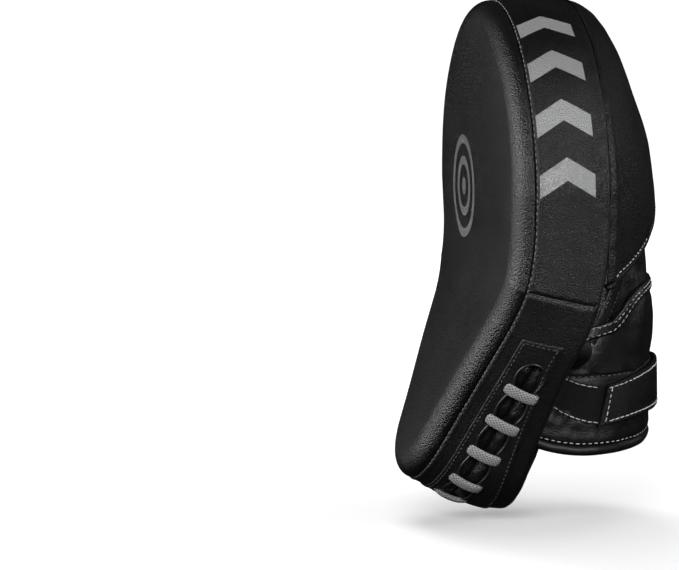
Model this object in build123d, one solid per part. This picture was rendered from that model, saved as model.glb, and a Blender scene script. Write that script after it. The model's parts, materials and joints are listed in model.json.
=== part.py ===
from build123d import *
import math
import os

# Curved focus mitt for the right hand: a laced, foam-filled striking pad with a hood and a glove
# on its back.  +Z is the fingertip end, -Y the way the striking face looks, +X the thumb side.
# The origin is the centre of the wrist opening, in the plane of its rim.
#
# Most places are given as a depth behind the flat part of the striking face and a drop below the
# fingertip edge, which is how the pad's profile is drawn.

# ---------------------------------------------------------------- driving dimensions, mm
TOP_Z = 224.0            # fingertip edge above the wrist rim
FACE_Y = -51.0           # striking face in front of the wrist's centre

HALF_WIDTH = 95.5        # pad, at its widest
DOME = 93.4              # drop at which the rounded top reaches the full width
KINK_HALF_WIDTH = 87.8   # where the sides turn in towards the wrist end
KINK_DROP = 137.9        # measured along the face
KINK_LINE = ((-3.5, 137.6), (41.3, 149.0))   # the same line across the sides: (depth, drop)
TIP_RADIUS = 42.7        # round wrist end of the pad
FACE_LENGTH = 245.8      # measured along the face
FLAT_LENGTH = 109.9      # flat stretch of the face, from the fingertip edge
BEND_RADIUS = 112.7      # forward curl of the face
BEND_ANGLE = 24.0
REAR_BEND_ANGLE = 14.0   # the back curls less, so the pad is thicker at the wrist end
THICKNESS = 46.2
SEAM_DEPTH = 9.5         # face seam behind the face
CROWN = ((-60.0, 5.8), (0.0, 5.8), (3.5, 2.2), (SEAM_DEPTH, 0.0))   # (depth, inset) of the rolled edge

LEATHER = 1.2
FIRM_FOAM = 15.0
BOARD = 3.8
PATCH = 0.8              # anything sewn flat on top of the leather

FACING_START = 2.0       # lace facing, below the end of the face's bend
FACING_BAND = (18.5, 44.0)
FACING_THICKNESS = 1.0
SLIT_START = 8.9
SLIT_BAND = (26.0, 37.0)
SLIT_INSETS = (-2.0, 5.0)
POCKET_START = 4.0       # hollow in the foam behind the slit
POCKET_BAND = (16.0, 44.0)
POCKET_INSET = 10.5
TONGUE_INSETS = (8.3, 10.4)
TONGUE_CREST = 0.6       # inset of the fold that stands up in the slit
TONGUE_PLAY = 0.1        # between the tongue and the foam
FOLD_PLAY = 1.0          # between its fold and the slit's edges
LACE_RADIUS = 2.2
LACE_BAND = (22.5, 40.0)  # depths of the two rows of eyelets
LACE_PITCH = 20.75
LACE_BARS = 10
LACE_OUT = 3.3           # centre of a bar outside the pad's edge
LACE_IN = 3.7            # centre of a run inside it
LACE_TAIL = 4.0          # past the last bars
LACE_BEND = 2.6
EYELET_RADIUS = 2.45
EYELET_REACH = 12.0

HEM = ((46.4, 141.0), (96.0, 112.0))      # hood's free edge: (depth, drop) at the pad and at the back
HOOD_WALL = 8.0
HOOD_SPREAD = 1.6        # how much faster the hood closes in at its sides than over its top
HOOD_LEAST = 1.5         # height of its thinnest section
GLOVE_SEAM = ((45.4, 171.0), (88.0, 143.5))
SEAM_HALF_WIDTH = 4.5    # of the tape over that seam
GLOVE_WALL = 3.0
LINING = 1.2
MESH_BACK = 56.0         # knitted side panels: their rear edge's depth and top edge's drop
MESH_TOP = 143.0
CUFF_TOP = 168.0         # drops of the wrist cuff's ends
CUFF_HALF_WIDTH = 45.5
CUFF_CENTRE = 44.0       # depth at which its straight sides turn round the back of the wrist
CUFF_BACK = 88.0
CUFF_WALL = 3.6
BINDING = 4.0
CUFF_ROLL = 1.0          # how far the cuff's binding stands out
THUMB_CENTRE = (36.0, 44.0, 178.0)   # x, depth, drop
THUMB_RADII = (17.0, 16.0, 9.5)
GRIP_CENTRE = (0.0, 37.0, 166.0)
GRIP_RADII = (29.0, 20.0, 21.0)

STRAP_WIDTH = 25.0
STRAP_DROP = 195.5       # centre line at the back of the wrist
STRAP_TILT = 12.0        # it drops towards both sides of the wrist
STRAP_INNER = 1.6        # above the cuff
STRAP_OUTER = 4.2
ROOT_DEPTH = 60.2        # sewn end, on the side away from the thumb
TIP_DEPTH = 58.0         # free end, on the thumb side
PEEL_X = 20.0            # where the free end starts to peel
ANCHOR_LENGTH = 12.0
TAPE = 1.0               # hook tape's thickness
TAPE_MARGINS = (1.5, 2.0, 1.0)   # left free at the sides of the strap, at the peel and at the tip
LOOP_SPREAD = 1.0        # how much wider than the strap the loop tape is
LAP = 1.0                # overlap of shapes that are joined
GAP = 0.3                # between pieces that move past each other
MARGIN = 60.0            # how far cutting shapes overrun

FAR = 3 * MARGIN

FORWARD = (0, 1, 0)      # from the striking face towards the hand


def place(depth, drop):
    """(y, z) of a point given by depth behind the face and drop below the fingertip edge."""
    return (FACE_Y + depth, TOP_Z - drop)


def in_profile(face):
    return Plane.YZ * face


# ---------------------------------------------------------------- the pad's profile and outline
def profile(offset, angle, flat=FLAT_LENGTH):
    """Line, bend and line of one layer, seen from the side; offset is its depth at the top."""
    top = Line(place(offset, -MARGIN), place(offset, flat))
    bend = JernArc(top @ 1, top % 1, BEND_RADIUS + offset, -angle)
    tail = Line(bend @ 1, bend @ 1 + (bend % 1) * FAR)
    return Wire([top, bend, tail])


def front(offset):
    return profile(offset, BEND_ANGLE)


def rear(offset):
    return profile(THICKNESS - offset, REAR_BEND_ANGLE)


def layer(near, far):
    """Everything between two profiles, across the whole width."""
    ends = [Line(near @ 0, far @ 0), Line(near @ 1, far @ 1)]
    face = make_face([*near.edges(), *far.edges(), *ends])
    return extrude(in_profile(face), amount=FAR, both=True)


bend_end = front(0).edges()[1] @ 1
tilt = math.radians(BEND_ANGLE)
# the straight wrist end: x across, y down along the face, z into the pad
LOWER = Plane(origin=(0, bend_end.X, bend_end.Y), x_dir=(1, 0, 0),
              z_dir=(0, math.cos(tilt), -math.sin(tilt)))
UPPER = Plane(origin=(0, FACE_Y, TOP_Z), x_dir=(1, 0, 0), z_dir=FORWARD)
BEND_END = FLAT_LENGTH + BEND_RADIUS * tilt   # along the face

kink_y = KINK_DROP - BEND_END
round_y = FACE_LENGTH - TIP_RADIUS - BEND_END
reach = math.hypot(KINK_HALF_WIDTH, kink_y - round_y)
side_angle = math.atan2(kink_y - round_y, KINK_HALF_WIDTH) + math.acos(TIP_RADIUS / reach)
side_normal = Vector(math.cos(side_angle), math.sin(side_angle))
side_run = Vector(math.sin(side_angle), -math.cos(side_angle))


def lower_outline(inset):
    """Round end with two tangent sides that widen upwards, in the LOWER plane."""
    radius = TIP_RADIUS - inset
    start = Vector(0, round_y) + side_normal * radius
    end = start + side_run * FAR
    right = Line(end, start)
    arc = ThreePointArc(start, (0, round_y + radius), (-start.X, start.Y))
    left = Line((-start.X, start.Y), (-end.X, end.Y))
    return make_face([right, arc, left, Line((-end.X, end.Y), end)])


def upper_outline(inset):
    """Half ellipse over two sides that narrow slightly, in the UPPER plane."""
    half = HALF_WIDTH - inset
    slope = (HALF_WIDTH - KINK_HALF_WIDTH) / (KINK_DROP - DOME)
    low = FACE_LENGTH + MARGIN
    foot = half - slope * (low - DOME)
    dome = EllipticalCenterArc((0, DOME), half, DOME - inset, start_angle=180, arc_size=180)
    right = Line((half, DOME), (foot, low))
    left = Line((-foot, low), (-half, DOME))
    return make_face([dome, right, Line((foot, low), (-foot, low)), left])


def half_space(line, sign):
    """The side of a slanted plane through two (depth, drop) points; sign -1 is the upper side."""
    a, b = (Vector(*place(*point)) for point in line)
    run = (b - a).normalized() * 2 * FAR
    away = Vector(run.Y, -run.X) * sign
    corners = [a - run, b + run, b + run + away, a - run + away]
    return extrude(in_profile(make_face(Polyline(*corners, close=True))), amount=FAR, both=True)


def stretch(x_range, depths):
    """An upright block between two x's and two depths."""
    block = Box(x_range[1] - x_range[0], depths[1] - depths[0], 2 * FAR)
    return Pos(sum(x_range) / 2, FACE_Y + sum(depths) / 2, 0) * block


def shifted(line, drop):
    return tuple((depth, low + drop) for depth, low in line)


def cutter(plane, shape, inset, rolled):
    """The outline carried through the pad along one plane's normal, its face edge rolled in or not."""
    if not rolled:
        return extrude(plane * Pos(0, 0, -MARGIN) * shape(inset), amount=FAR + MARGIN, dir=plane.z_dir)
    steps = [(depth + inset, roll + inset) for depth, roll in CROWN]
    edge = loft([plane * Pos(0, 0, depth) * shape(roll) for depth, roll in steps], ruled=True)
    start = plane * Pos(0, 0, steps[-1][0]) * shape(inset)
    return edge + extrude(start, amount=FAR, dir=plane.z_dir)


def outline(inset, rolled=False):
    """The pad's outline, cut square to the face above and below the kink in its sides."""
    above = cutter(UPPER, upper_outline, inset, rolled) & half_space(KINK_LINE, -1)
    below = cutter(LOWER, lower_outline, inset, rolled) & half_space(KINK_LINE, 1)
    return above + below


def lower_ring(outer, inner, band, start):
    """A rim strip round the wrist end between two insets, over a band of depths."""
    ring = lower_outline(outer) - lower_outline(inner)
    solid = extrude(ring, amount=band[1] - band[0])
    keep = Pos(0, start + FAR, 0) * Box(2 * FAR, 2 * FAR, 2 * FAR)
    return LOWER * ((Pos(0, 0, band[0]) * solid) & keep)


# ---------------------------------------------------------------- shapes of the glove and hood
def across(plane_drop):
    """Level plane at a drop, x across and y the depth behind the face."""
    return Plane(origin=(0, FACE_Y, TOP_Z - plane_drop))


def wrap(half, centre, back):
    """U around the hand: two straight sides and a half ellipse round the back."""
    arc = EllipticalCenterArc((0, centre), half, back - centre, start_angle=0, arc_size=180)
    corners = [(-half, centre), (-half, 0), (half, 0), (half, centre)]
    return make_face([arc, *Polyline(*corners).edges()])


GLOVE_SECTIONS = (   # drop, half width, depth of the back
    (52, 30, 62), (62, 38, 68), (85, 45, 80), (110, 47.5, 85.5), (135, 48, 87.5), (CUFF_TOP, 46, 89.0))


def glove(inset):
    """The closed finger end and the hand part, down to the wrist cuff."""
    top = GLOVE_SECTIONS[0][0]
    sections = []
    for drop, half, back in GLOVE_SECTIONS:
        lower = drop + (inset if drop == top else 0)
        sections.append(across(lower) * wrap(half - inset, CUFF_CENTRE, back - inset))
    return loft(sections)


def cuff(inset, top, bottom):
    section = wrap(CUFF_HALF_WIDTH - inset, CUFF_CENTRE, CUFF_BACK - inset)
    return extrude(across(bottom) * section, amount=bottom - top, dir=(0, 0, 1))


HOOD_SECTIONS = (   # drop, half width, height over the back of the pad
    (4, 26, 4.0), (18, 56, 15), (41, 78, 27), (61, 88.5, 37), (79, 93.5, 44), (100, 94.0, 47.5),
    (122, 90.2, 48.5), (146, 86.0, 48.5))
HOOD_SHAPE = ((1.0, 0.0), (0.78, 0.40), (0.45, 0.82), (0.0, 1.0))   # (width, height) shares


def tent(half, height):
    """Leather stretched from the pad's edges over the knuckles."""
    points = [(half * w, height * h) for w, h in HOOD_SHAPE]
    points += [(-x, y) for x, y in reversed(points[:-1])]
    return make_face([Spline(*points), Line(points[-1], points[0])])


def hood(inset):
    """The hood as one closed lump over the back of the pad, cut along its hem."""
    sections = []
    for drop, half, height in HOOD_SECTIONS:
        first = drop == HOOD_SECTIONS[0][0]
        lower = drop + (inset if first else 0)
        size = (half - inset * HOOD_SPREAD, max(height - inset, HOOD_LEAST))
        sections.append(across(lower) * Pos(0, THICKNESS + GAP, 0) * tent(*size))
    return loft(sections)


# ---------------------------------------------------------------- pad
whole = layer(front(0), rear(0)) & outline(0, rolled=True)
inner = layer(front(LEATHER), rear(LEATHER)) & outline(LEATHER, rolled=True)
skin = whole - inner
slit = lower_ring(*SLIT_INSETS, SLIT_BAND, SLIT_START)
pocket = lower_ring(LEATHER, POCKET_INSET, POCKET_BAND, POCKET_START)

nodes = {}
nodes["striking_face"] = skin & layer(front(-MARGIN), front(SEAM_DEPTH))
nodes["back_panel"] = skin & layer(rear(LEATHER), rear(0))
band = skin & layer(front(SEAM_DEPTH), rear(LEATHER))
nodes["side_band_upper"] = band & half_space(KINK_LINE, -1)
nodes["side_band_lower"] = (band & half_space(KINK_LINE, 1)) - slit

core = inner - pocket
nodes["impact_foam"] = core & layer(front(0), front(LEATHER + FIRM_FOAM))
nodes["cushion_foam"] = core & layer(front(LEATHER + FIRM_FOAM), rear(LEATHER + BOARD))
nodes["back_board"] = core & layer(rear(LEATHER + BOARD), rear(0))


# ---------------------------------------------------------------- lace, facing and tongue
def rim_place(along, inset, depth):
    """A point by distance round the wrist end from its middle, inset and depth."""
    radius = TIP_RADIUS - inset
    quarter = TIP_RADIUS * (math.pi / 2 - side_angle)
    distance = abs(along)
    if distance <= quarter:
        angle = math.pi / 2 - distance / TIP_RADIUS
        spot = Vector(radius * math.cos(angle), round_y + radius * math.sin(angle))
    else:
        spot = Vector(0, round_y) + side_normal * radius + side_run * (distance - quarter)
    return LOWER.from_local_coords(Vector(math.copysign(spot.X, along), spot.Y, depth))


def eyelets():
    """One hole at each end of each lace bar, square to the pad's edge."""
    holes = []
    for bar in range(LACE_BARS):
        along = (bar - (LACE_BARS - 1) / 2) * LACE_PITCH
        for depth in LACE_BAND:
            foot = rim_place(along, EYELET_REACH / 2, depth)
            head = rim_place(along, -EYELET_REACH / 2, depth)
            hole = Plane(origin=foot, z_dir=head - foot) * Cylinder(EYELET_RADIUS, 2 * EYELET_REACH)
            holes.append(hole)
    return holes


def lace():
    """One lace that crosses the slit outside and runs on to the next bar inside."""
    points = []
    for bar in range(LACE_BARS):
        along = (bar - (LACE_BARS - 1) / 2) * LACE_PITCH
        first, last = LACE_BAND if bar % 2 == 0 else reversed(LACE_BAND)
        points += [rim_place(along, LACE_IN, first), rim_place(along, -LACE_OUT, first),
                   rim_place(along, -LACE_OUT, last), rim_place(along, LACE_IN, last)]
    end = LACE_PITCH * LACE_BARS / 2 + LACE_TAIL
    tails = [rim_place(side * end, LACE_IN, LACE_BAND[0]) for side in (-1, 1)]
    points = [tails[0]] + points + [tails[1]]
    path = FilletPolyline(*points, radius=LACE_BEND)
    return sweep(Plane(origin=path @ 0, z_dir=path % 0) * Circle(LACE_RADIUS), path=path)


nodes["lace"] = lace()
facing = lower_ring(-FACING_THICKNESS, 0, FACING_BAND, FACING_START) - slit
for hole in eyelets():
    facing -= hole
    nodes["side_band_lower"] -= hole
nodes["lace_facing"] = facing
fold_band = (SLIT_BAND[0] + FOLD_PLAY, SLIT_BAND[1] - FOLD_PLAY)
fold = lower_ring(TONGUE_CREST, TONGUE_INSETS[0], fold_band, SLIT_START + FOLD_PLAY / 2)
tongue_band = (POCKET_BAND[0] + TONGUE_PLAY, POCKET_BAND[1] - TONGUE_PLAY)
nodes["lace_tongue"] = lower_ring(*TONGUE_INSETS, tongue_band, POCKET_START + 2 * TONGUE_PLAY) + fold

# ---------------------------------------------------------------- hood
behind = layer(rear(0), front(FAR + MARGIN))
above_hem = half_space(HEM, -1)
shells = [hood(inset) & above_hem & behind for inset in (0, LEATHER, HOOD_WALL - LINING, HOOD_WALL)]
nodes["hood_shell"] = shells[0] - shells[1]
nodes["hood_padding"] = shells[1] - shells[2]
nodes["hood_lining"] = shells[2] - shells[3]
hem_strip = half_space(HEM, 1) & half_space(shifted(HEM, BINDING), -1)
nodes["hood_binding"] = (hood(-PATCH) - hood(HOOD_WALL)) & hem_strip & behind

# ---------------------------------------------------------------- glove
glove_outer, glove_wall, glove_inner = (glove(i) & behind for i in (0, GLOVE_WALL, GLOVE_WALL + LINING))
wall = glove_outer - glove_wall
nodes["finger_stall"] = wall & half_space(GLOVE_SEAM, -1)
nodes["hand_back_panel"] = wall & half_space(GLOVE_SEAM, 1)
nodes["glove_lining"] = glove_wall - glove_inner
cuff_end = TOP_Z - BINDING
inside = CUFF_WALL + LINING
nodes["wrist_cuff"] = (cuff(0, CUFF_TOP, cuff_end) - cuff(CUFF_WALL, CUFF_TOP, cuff_end)) & behind
nodes["cuff_lining"] = (cuff(CUFF_WALL, CUFF_TOP, cuff_end) - cuff(inside, CUFF_TOP, cuff_end)) & behind
nodes["cuff_binding"] = (cuff(-CUFF_ROLL, cuff_end, TOP_Z) - cuff(inside, cuff_end, TOP_Z)) & behind

patch = (glove(-PATCH) - glove(0)) & behind
above_tape = half_space(shifted(GLOVE_SEAM, -SEAM_HALF_WIDTH), -1)
below_tape = half_space(shifted(GLOVE_SEAM, SEAM_HALF_WIDTH), 1)
nodes["seam_band"] = patch - above_tape - below_tape
mesh_zone = stretch((-FAR, FAR), (0, MESH_BACK)) & half_space(((0, MESH_TOP), (FAR, MESH_TOP)), 1)
nodes["mesh_panels"] = patch & mesh_zone & above_tape


def lump(centre, radii):
    """A rounded pad, with its centre given by x, depth and drop."""
    x, depth, drop = centre
    return across(drop) * Pos(x, depth, 0) * scale(Sphere(1), radii)


thumb = lump(THUMB_CENTRE, THUMB_RADII) & behind
nodes["thumb_pouch"] = thumb - glove(-PATCH) - cuff(-STRAP_INNER, CUFF_TOP - LAP, TOP_Z)
nodes["palm_grip"] = lump(GRIP_CENTRE, GRIP_RADII) & behind


# ---------------------------------------------------------------- wrist strap
STRAP = Plane(origin=(0, FACE_Y + CUFF_BACK, TOP_Z - STRAP_DROP), x_dir=(1, 0, 0),
              z_dir=(0, math.sin(math.radians(STRAP_TILT)), math.cos(math.radians(STRAP_TILT))))


def strap_ring(low, high, width):
    """A band round the cuff, from one height above it to another."""
    ring = cuff(-high, CUFF_TOP - MARGIN, TOP_Z + MARGIN) - cuff(-low, CUFF_TOP - MARGIN, TOP_Z + MARGIN)
    return ring & (STRAP * Box(2 * FAR, 2 * FAR, width))


side_margin, peel_margin, tip_margin = TAPE_MARGINS
root_side = stretch((-FAR, 0), (ROOT_DEPTH, FAR)) + stretch((-LAP, PEEL_X), (ROOT_DEPTH, FAR))
tip_side = stretch((PEEL_X + GAP, FAR), (TIP_DEPTH, FAR))
hook_side = stretch((PEEL_X + peel_margin, FAR), (TIP_DEPTH + tip_margin, FAR))
anchor_side = stretch((-FAR, 0), (ROOT_DEPTH - ANCHOR_LENGTH, ROOT_DEPTH - GAP))
loop_side = stretch((0, FAR), (0, FAR))
hook_face = STRAP_INNER + TAPE
nodes["strap_band"] = strap_ring(STRAP_INNER, STRAP_OUTER, STRAP_WIDTH) & root_side
nodes["strap_tip"] = strap_ring(hook_face, STRAP_OUTER, STRAP_WIDTH) & tip_side
nodes["hook_patch"] = strap_ring(STRAP_INNER, hook_face, STRAP_WIDTH - 2 * side_margin) & hook_side
nodes["strap_anchor"] = strap_ring(0, STRAP_OUTER, STRAP_WIDTH) & anchor_side
nodes["loop_patch"] = strap_ring(0, STRAP_INNER - GAP, STRAP_WIDTH + LOOP_SPREAD) & loop_side & behind

# ---------------------------------------------------------------- write one file per node
os.makedirs("parts", exist_ok=True)
for name, solid in nodes.items():
    solids = solid.solids()
    export_step(solids[0] if len(solids) == 1 else Compound(children=list(solids)), f"parts/{name}.step")
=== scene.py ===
import json
import math

import bmesh
import bpy
import numpy as np
from mathutils import Matrix, Vector


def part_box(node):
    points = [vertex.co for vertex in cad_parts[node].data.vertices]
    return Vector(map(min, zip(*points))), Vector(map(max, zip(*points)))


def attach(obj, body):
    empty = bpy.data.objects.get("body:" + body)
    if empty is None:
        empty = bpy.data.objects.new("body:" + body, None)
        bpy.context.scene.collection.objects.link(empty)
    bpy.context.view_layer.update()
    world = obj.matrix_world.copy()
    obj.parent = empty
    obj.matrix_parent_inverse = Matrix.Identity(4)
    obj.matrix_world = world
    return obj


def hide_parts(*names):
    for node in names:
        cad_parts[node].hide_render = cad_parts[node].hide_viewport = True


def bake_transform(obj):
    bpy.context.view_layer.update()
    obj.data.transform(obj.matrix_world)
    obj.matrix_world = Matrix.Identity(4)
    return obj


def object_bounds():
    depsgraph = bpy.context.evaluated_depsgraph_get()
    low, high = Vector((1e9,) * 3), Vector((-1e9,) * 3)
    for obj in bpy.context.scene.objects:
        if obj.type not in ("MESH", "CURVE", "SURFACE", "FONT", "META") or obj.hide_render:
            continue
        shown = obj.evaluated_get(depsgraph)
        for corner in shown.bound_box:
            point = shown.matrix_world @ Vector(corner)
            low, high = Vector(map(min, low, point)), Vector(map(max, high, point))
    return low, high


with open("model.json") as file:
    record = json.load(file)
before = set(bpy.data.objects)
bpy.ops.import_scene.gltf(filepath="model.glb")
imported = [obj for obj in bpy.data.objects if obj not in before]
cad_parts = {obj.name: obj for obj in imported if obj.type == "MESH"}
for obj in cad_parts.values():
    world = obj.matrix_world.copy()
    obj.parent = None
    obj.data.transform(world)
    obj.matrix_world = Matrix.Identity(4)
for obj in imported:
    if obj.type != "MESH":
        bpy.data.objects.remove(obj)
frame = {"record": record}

# A curved focus mitt for the right hand.  Shapes are worked out in millimetres, as a depth behind
# the flat of the striking face and a drop below the fingertip edge, and turned into metres once,
# when a mesh is made.  All of it hangs from two places of the frame: the striking face's plane and
# its top.  Places on the pad are given round its edge, from the middle of the wrist end and
# positive on the thumb side.  Places on the glove and the strap are given by travel round the
# hand, from the middle of its back.
cad_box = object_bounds()
MM = 0.001
mounts = {mount["name"]: mount for mount in frame["record"]["mounts"]}
FACE_Y = mounts["strike_face"]["pos_m"][1] / MM
TOP_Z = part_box("striking_face")[1][2] / MM
FLOOR_Z = cad_box[0][2] - 0.0006  # just clear of the lowest piece

# ---------------------------------------------------------------- driving dimensions, mm
# the pad's outline, along its curled face
HALF_WIDTH = 95.5
DOME = 93.4                       # length of the rounded fingertip end
KINK_HALF_WIDTH = 87.8
KINK_DROP = 137.9                 # where the sides turn in towards the wrist end
TIP_RADIUS = 42.7
FACE_LENGTH = 245.8
FLAT_LENGTH = 109.9               # length of the flat part, before the bend
BEND_RADIUS = 112.7
BEND_ANGLE = math.radians(24.0)
THICKNESS = 46.2
TIP_THICKNESS = 64.3              # thickness at the wrist end
REAR_BEND = math.radians(14.0)
REAR_ROLL = 8.0
REAR_BULGE = 3.2
SEAM_DEPTH = 9.5                  # seam between the face and the side band
FACE_ROLL = 11.5
FACE_CENTRE = (0.0, 112.0)        # where the rings of the face's and the back's meshes close
BAND_CROWN = 1.1
LEATHER = 1.2
STITCH_PITCH = 3.2

# the slit round the wrist end, its lace and its facing
SLIT_DEPTH = 31.2
SLIT_END = 112.5
SLIT_ROUND = 9.0                  # length of each rounded end
LACE_PITCH = 20.75
LACE_BARS = 10
LACE_HALF = 8.3
LACE_TURN = 0.6                   # how much nearer the slit the lace runs under the facing
LACE_WIDTH, LACE_THICK = 5.8, 2.5
BAR_REACH = 105.0                 # the outermost lace bar's place, with some room
BAR_SKEWS = (0.6, 0.9, 0.7, 1.0, 0.6)             # how far each bar's ends lean, from the top bar down
FACING_FRONT = 17.6
FACING_BACK = 9.0
FACING_END = 124.5
FACING_SLANT = 0.18
TONGUE_HALF = 13.0

# the hood over the fingers
HEM_SLANT = math.radians(30.5)
HEM_DROP = 141.0
HEM_ARCH = 9.0                    # how much higher the hem runs over the middle of the back
HOOD_DROPS = (0.0, 2.0, 5.7, 15.0, 26.7, 40.0, 56.0, 70.0, 81.8, 94.0, 105.6, 118.0, 128.3, 134.0, 141.0)
HOOD_HEIGHTS = (0.3, 3.2, 7.2, 15.4, 22.8, 28.6, 34.2, 38.4, 42.0, 45.4, 48.0, 50.0, 50.8, 50.4, 48.8)
HOOD_PAD, HOOD_SKIN = 6.4, 0.8
HOOD_SPAN = 90.0                  # scale of its texture coordinate across

# the glove and the cuff: drop, half width, depth of the back
GLOVE_SECTIONS = np.array([
    (60, 32, 64), (72, 42, 74), (85, 45.5, 81), (105, 47.5, 85.0), (127, 48.3, 85.6), (143, 48.3, 87.4),
    (152, 47.8, 89.6), (162, 47.2, 90.2), (172, 46.6, 89.6), (180, 46.2, 88.4), (230, 45.8, 87.4)])
GLOVE_CENTRE = 44.0
ROUND_HALF, ROUND_BACK = 46.0, 44.0               # the quarter round by which travel is measured
STALL_TOP = 78.0
STALL_SEAMS = (-14.0, 14.0)
SEAM_DEPTHS = (38.0, 42.5, 46.0, 49.3, 54.0, 59.4, 64.0, 68.9, 74.0, 78.0, 84.0, 88.5)
SEAM_DROPS = (170.0, 167.5, 165.8, 164.9, 164.0, 162.4, 158.2, 151.9, 148.4, 146.4, 144.4, 143.5)
SEAM_TAPE_WIDTH = 6.6
CUFF_JOIN = 186.0                 # where the back of the hand meets the cuff
CUFF_LOW = 227.5                  # lowest drop of the rim
LOW_SHARE = 0.82                  # and its place, as a share of the way from the back to the pad
CUFF_EDGE_RISE = 4.5              # how far the skin ends above the rim
SIDE_TAB = ((47.0, 170.0), (49.5, 165.5), (51.8, 161.0), (55.5, 153.5), (59.5, 145.5), (62.5, 139.0))
SIDE_TAB_WIDTH = 6.8
POUCH_CENTRE, POUCH_HALF = (37.0, 174.0), (17.0, 13.5)            # depth and drop
GRIP_CENTRE, GRIP_RADII = (0.0, 37.0, 166.0), (28.0, 19.0, 20.0)

# the wrist strap and its loop tape
STRAP_HALF, STRAP_BACK = 45.5, 88.0               # the cuff's section under the strap
STRAP_DROP, STRAP_WIDTH = 194.2, 24.0
STRAP_TILT = math.radians(12.5)
STRAP_LOW, STRAP_HIGH = 1.9, 4.5                  # heights of its two faces over the cuff
STRAP_NARROWS = 0.17
END_SLANT = 0.2
HOOK_WIDTH = 20.5
LOOP_WIDTH = 23.5
LOOP_DEPTH = 27.0                 # where the loop tape runs into the pad


# ---------------------------------------------------------------- small numeric helpers
def smooth(value, low, high):
    """0 below low, 1 above high, eased between."""
    t = np.clip((value - low) / (high - low), 0.0, 1.0)
    return t * t * (3 - 2 * t)


def bell(value, width):
    """1 at 0, falling away to each side over about the width."""
    return np.exp(-(value / width) ** 2)


def waves(points, length, seed, count=14):
    """Smooth random height in -1..1, made of plane waves of about one wavelength."""
    rng = np.random.default_rng(seed)
    total = np.zeros(points.shape[:-1])
    for _ in range(count):
        direction = rng.normal(size=3)
        direction /= np.linalg.norm(direction)
        total += np.sin(points @ direction * (2 * math.pi / (length * rng.uniform(0.7, 1.5)))
                        + rng.uniform(0, 2 * math.pi))
    return total / math.sqrt(count) / 1.4


def unit(vectors):
    return vectors / np.maximum(np.linalg.norm(vectors, axis=-1, keepdims=True), 1e-9)


def square_to(vectors, ahead):
    """Unit vectors with the part along ahead taken out."""
    return unit(vectors - ahead * np.sum(vectors * ahead, axis=-1, keepdims=True))


def grid_normals(points):
    return unit(np.cross(np.gradient(points, axis=0), np.gradient(points, axis=1)))


def ring_normals(points):
    """Normals of a grid whose last row runs on into its first."""
    return grid_normals(np.concatenate([points[-1:], points, points[:1]]))[1:-1]


def facing_away(normal, points, outward=None):
    """The normals, all turned over if need be to look outward, or away from the middle of the points."""
    reference = points - points.reshape(-1, 3).mean(axis=0) if outward is None else np.array(outward, float)
    return normal * (1.0 if float(np.sum(normal * reference)) > 0 else -1.0)


def run_of(line):
    """Distance along a polyline at each of its points."""
    return np.concatenate([[0], np.cumsum(np.linalg.norm(np.diff(line, axis=0), axis=1))])


def resample(line, step):
    """Even points along a polyline, and the distance to each."""
    run = run_of(line)
    wanted = np.linspace(0, run[-1], max(int(round(run[-1] / step)), 1) + 1)
    return np.stack([np.interp(wanted, run, column) for column in line.T], axis=1), wanted


def softened(values, reach, **more):
    """Values averaged under a bell window that reaches so many samples to each side."""
    window = np.hanning(2 * reach + 1)
    return np.convolve(np.pad(values, reach, **more), window / window.sum(), "valid")


def even_steps(start, end, step):
    return np.linspace(start, end, int(round((end - start) / step)) + 1)


def crowded(count, power):
    """Shares 0..1 that crowd both ends."""
    even = np.linspace(-1, 1, count)
    return 0.5 + 0.5 * np.sign(even) * (1 - (1 - np.abs(even)) ** power)


def pucker(along):
    """The leather drawn in at every stitch of a seam."""
    return 0.5 + 0.5 * np.cos(2 * math.pi * along / STITCH_PITCH)


# ---------------------------------------------------------------- the pad's edge and its bend
def half_outline():
    """(x, s) down the thumb side, s measured along the face, from the fingertip end."""
    turn = np.linspace(0, math.pi / 2, 200)
    x, s = HALF_WIDTH * np.sin(turn), DOME * (1 - np.cos(turn))
    centre = FACE_LENGTH - TIP_RADIUS
    lean = math.atan2(KINK_DROP - centre, KINK_HALF_WIDTH)
    lean += math.acos(TIP_RADIUS / math.hypot(KINK_HALF_WIDTH, KINK_DROP - centre))
    end = np.linspace(lean, math.pi / 2, 120)
    x = np.concatenate([x, [KINK_HALF_WIDTH], TIP_RADIUS * np.cos(end)])
    s = np.concatenate([s, [KINK_DROP], centre + TIP_RADIUS * np.sin(end)])
    return x, s


EDGE_SAMPLES, NORMAL_REACH = 6000, 180        # samples of the half edge; how many its normals blend over
edge_x, edge_s = half_outline()
edge_run = run_of(np.stack([edge_x, edge_s], axis=1))
HALF_ROUND = edge_run[-1]                     # from the middle of the wrist end to the fingertip middle
fine = np.linspace(0, HALF_ROUND, EDGE_SAMPLES)
fine_x, fine_s = np.interp(fine, edge_run, edge_x), np.interp(fine, edge_run, edge_s)
fine_nx = softened(np.gradient(fine_s), NORMAL_REACH, mode="reflect", reflect_type="odd")
fine_ns = -softened(np.gradient(fine_x), NORMAL_REACH, mode="reflect")
fine_nx[[0, -1]] = 0.0
fine_nx, fine_ns = (n / np.hypot(fine_nx, fine_ns) for n in (fine_nx, fine_ns))
KINK_RUN = HALF_ROUND - edge_run[np.searchsorted(edge_s, KINK_DROP)]


def edge(along):
    """x, s and the outward direction at a signed distance round the edge from the wrist middle."""
    along = np.asarray(along, float)
    spot = HALF_ROUND - np.abs(along)
    side = np.where(along < 0, -1.0, 1.0)
    x, s, nx, ns = (np.interp(spot, fine, values) for values in (fine_x, fine_s, fine_nx, fine_ns))
    return side * x, s, side * nx, ns


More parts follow.
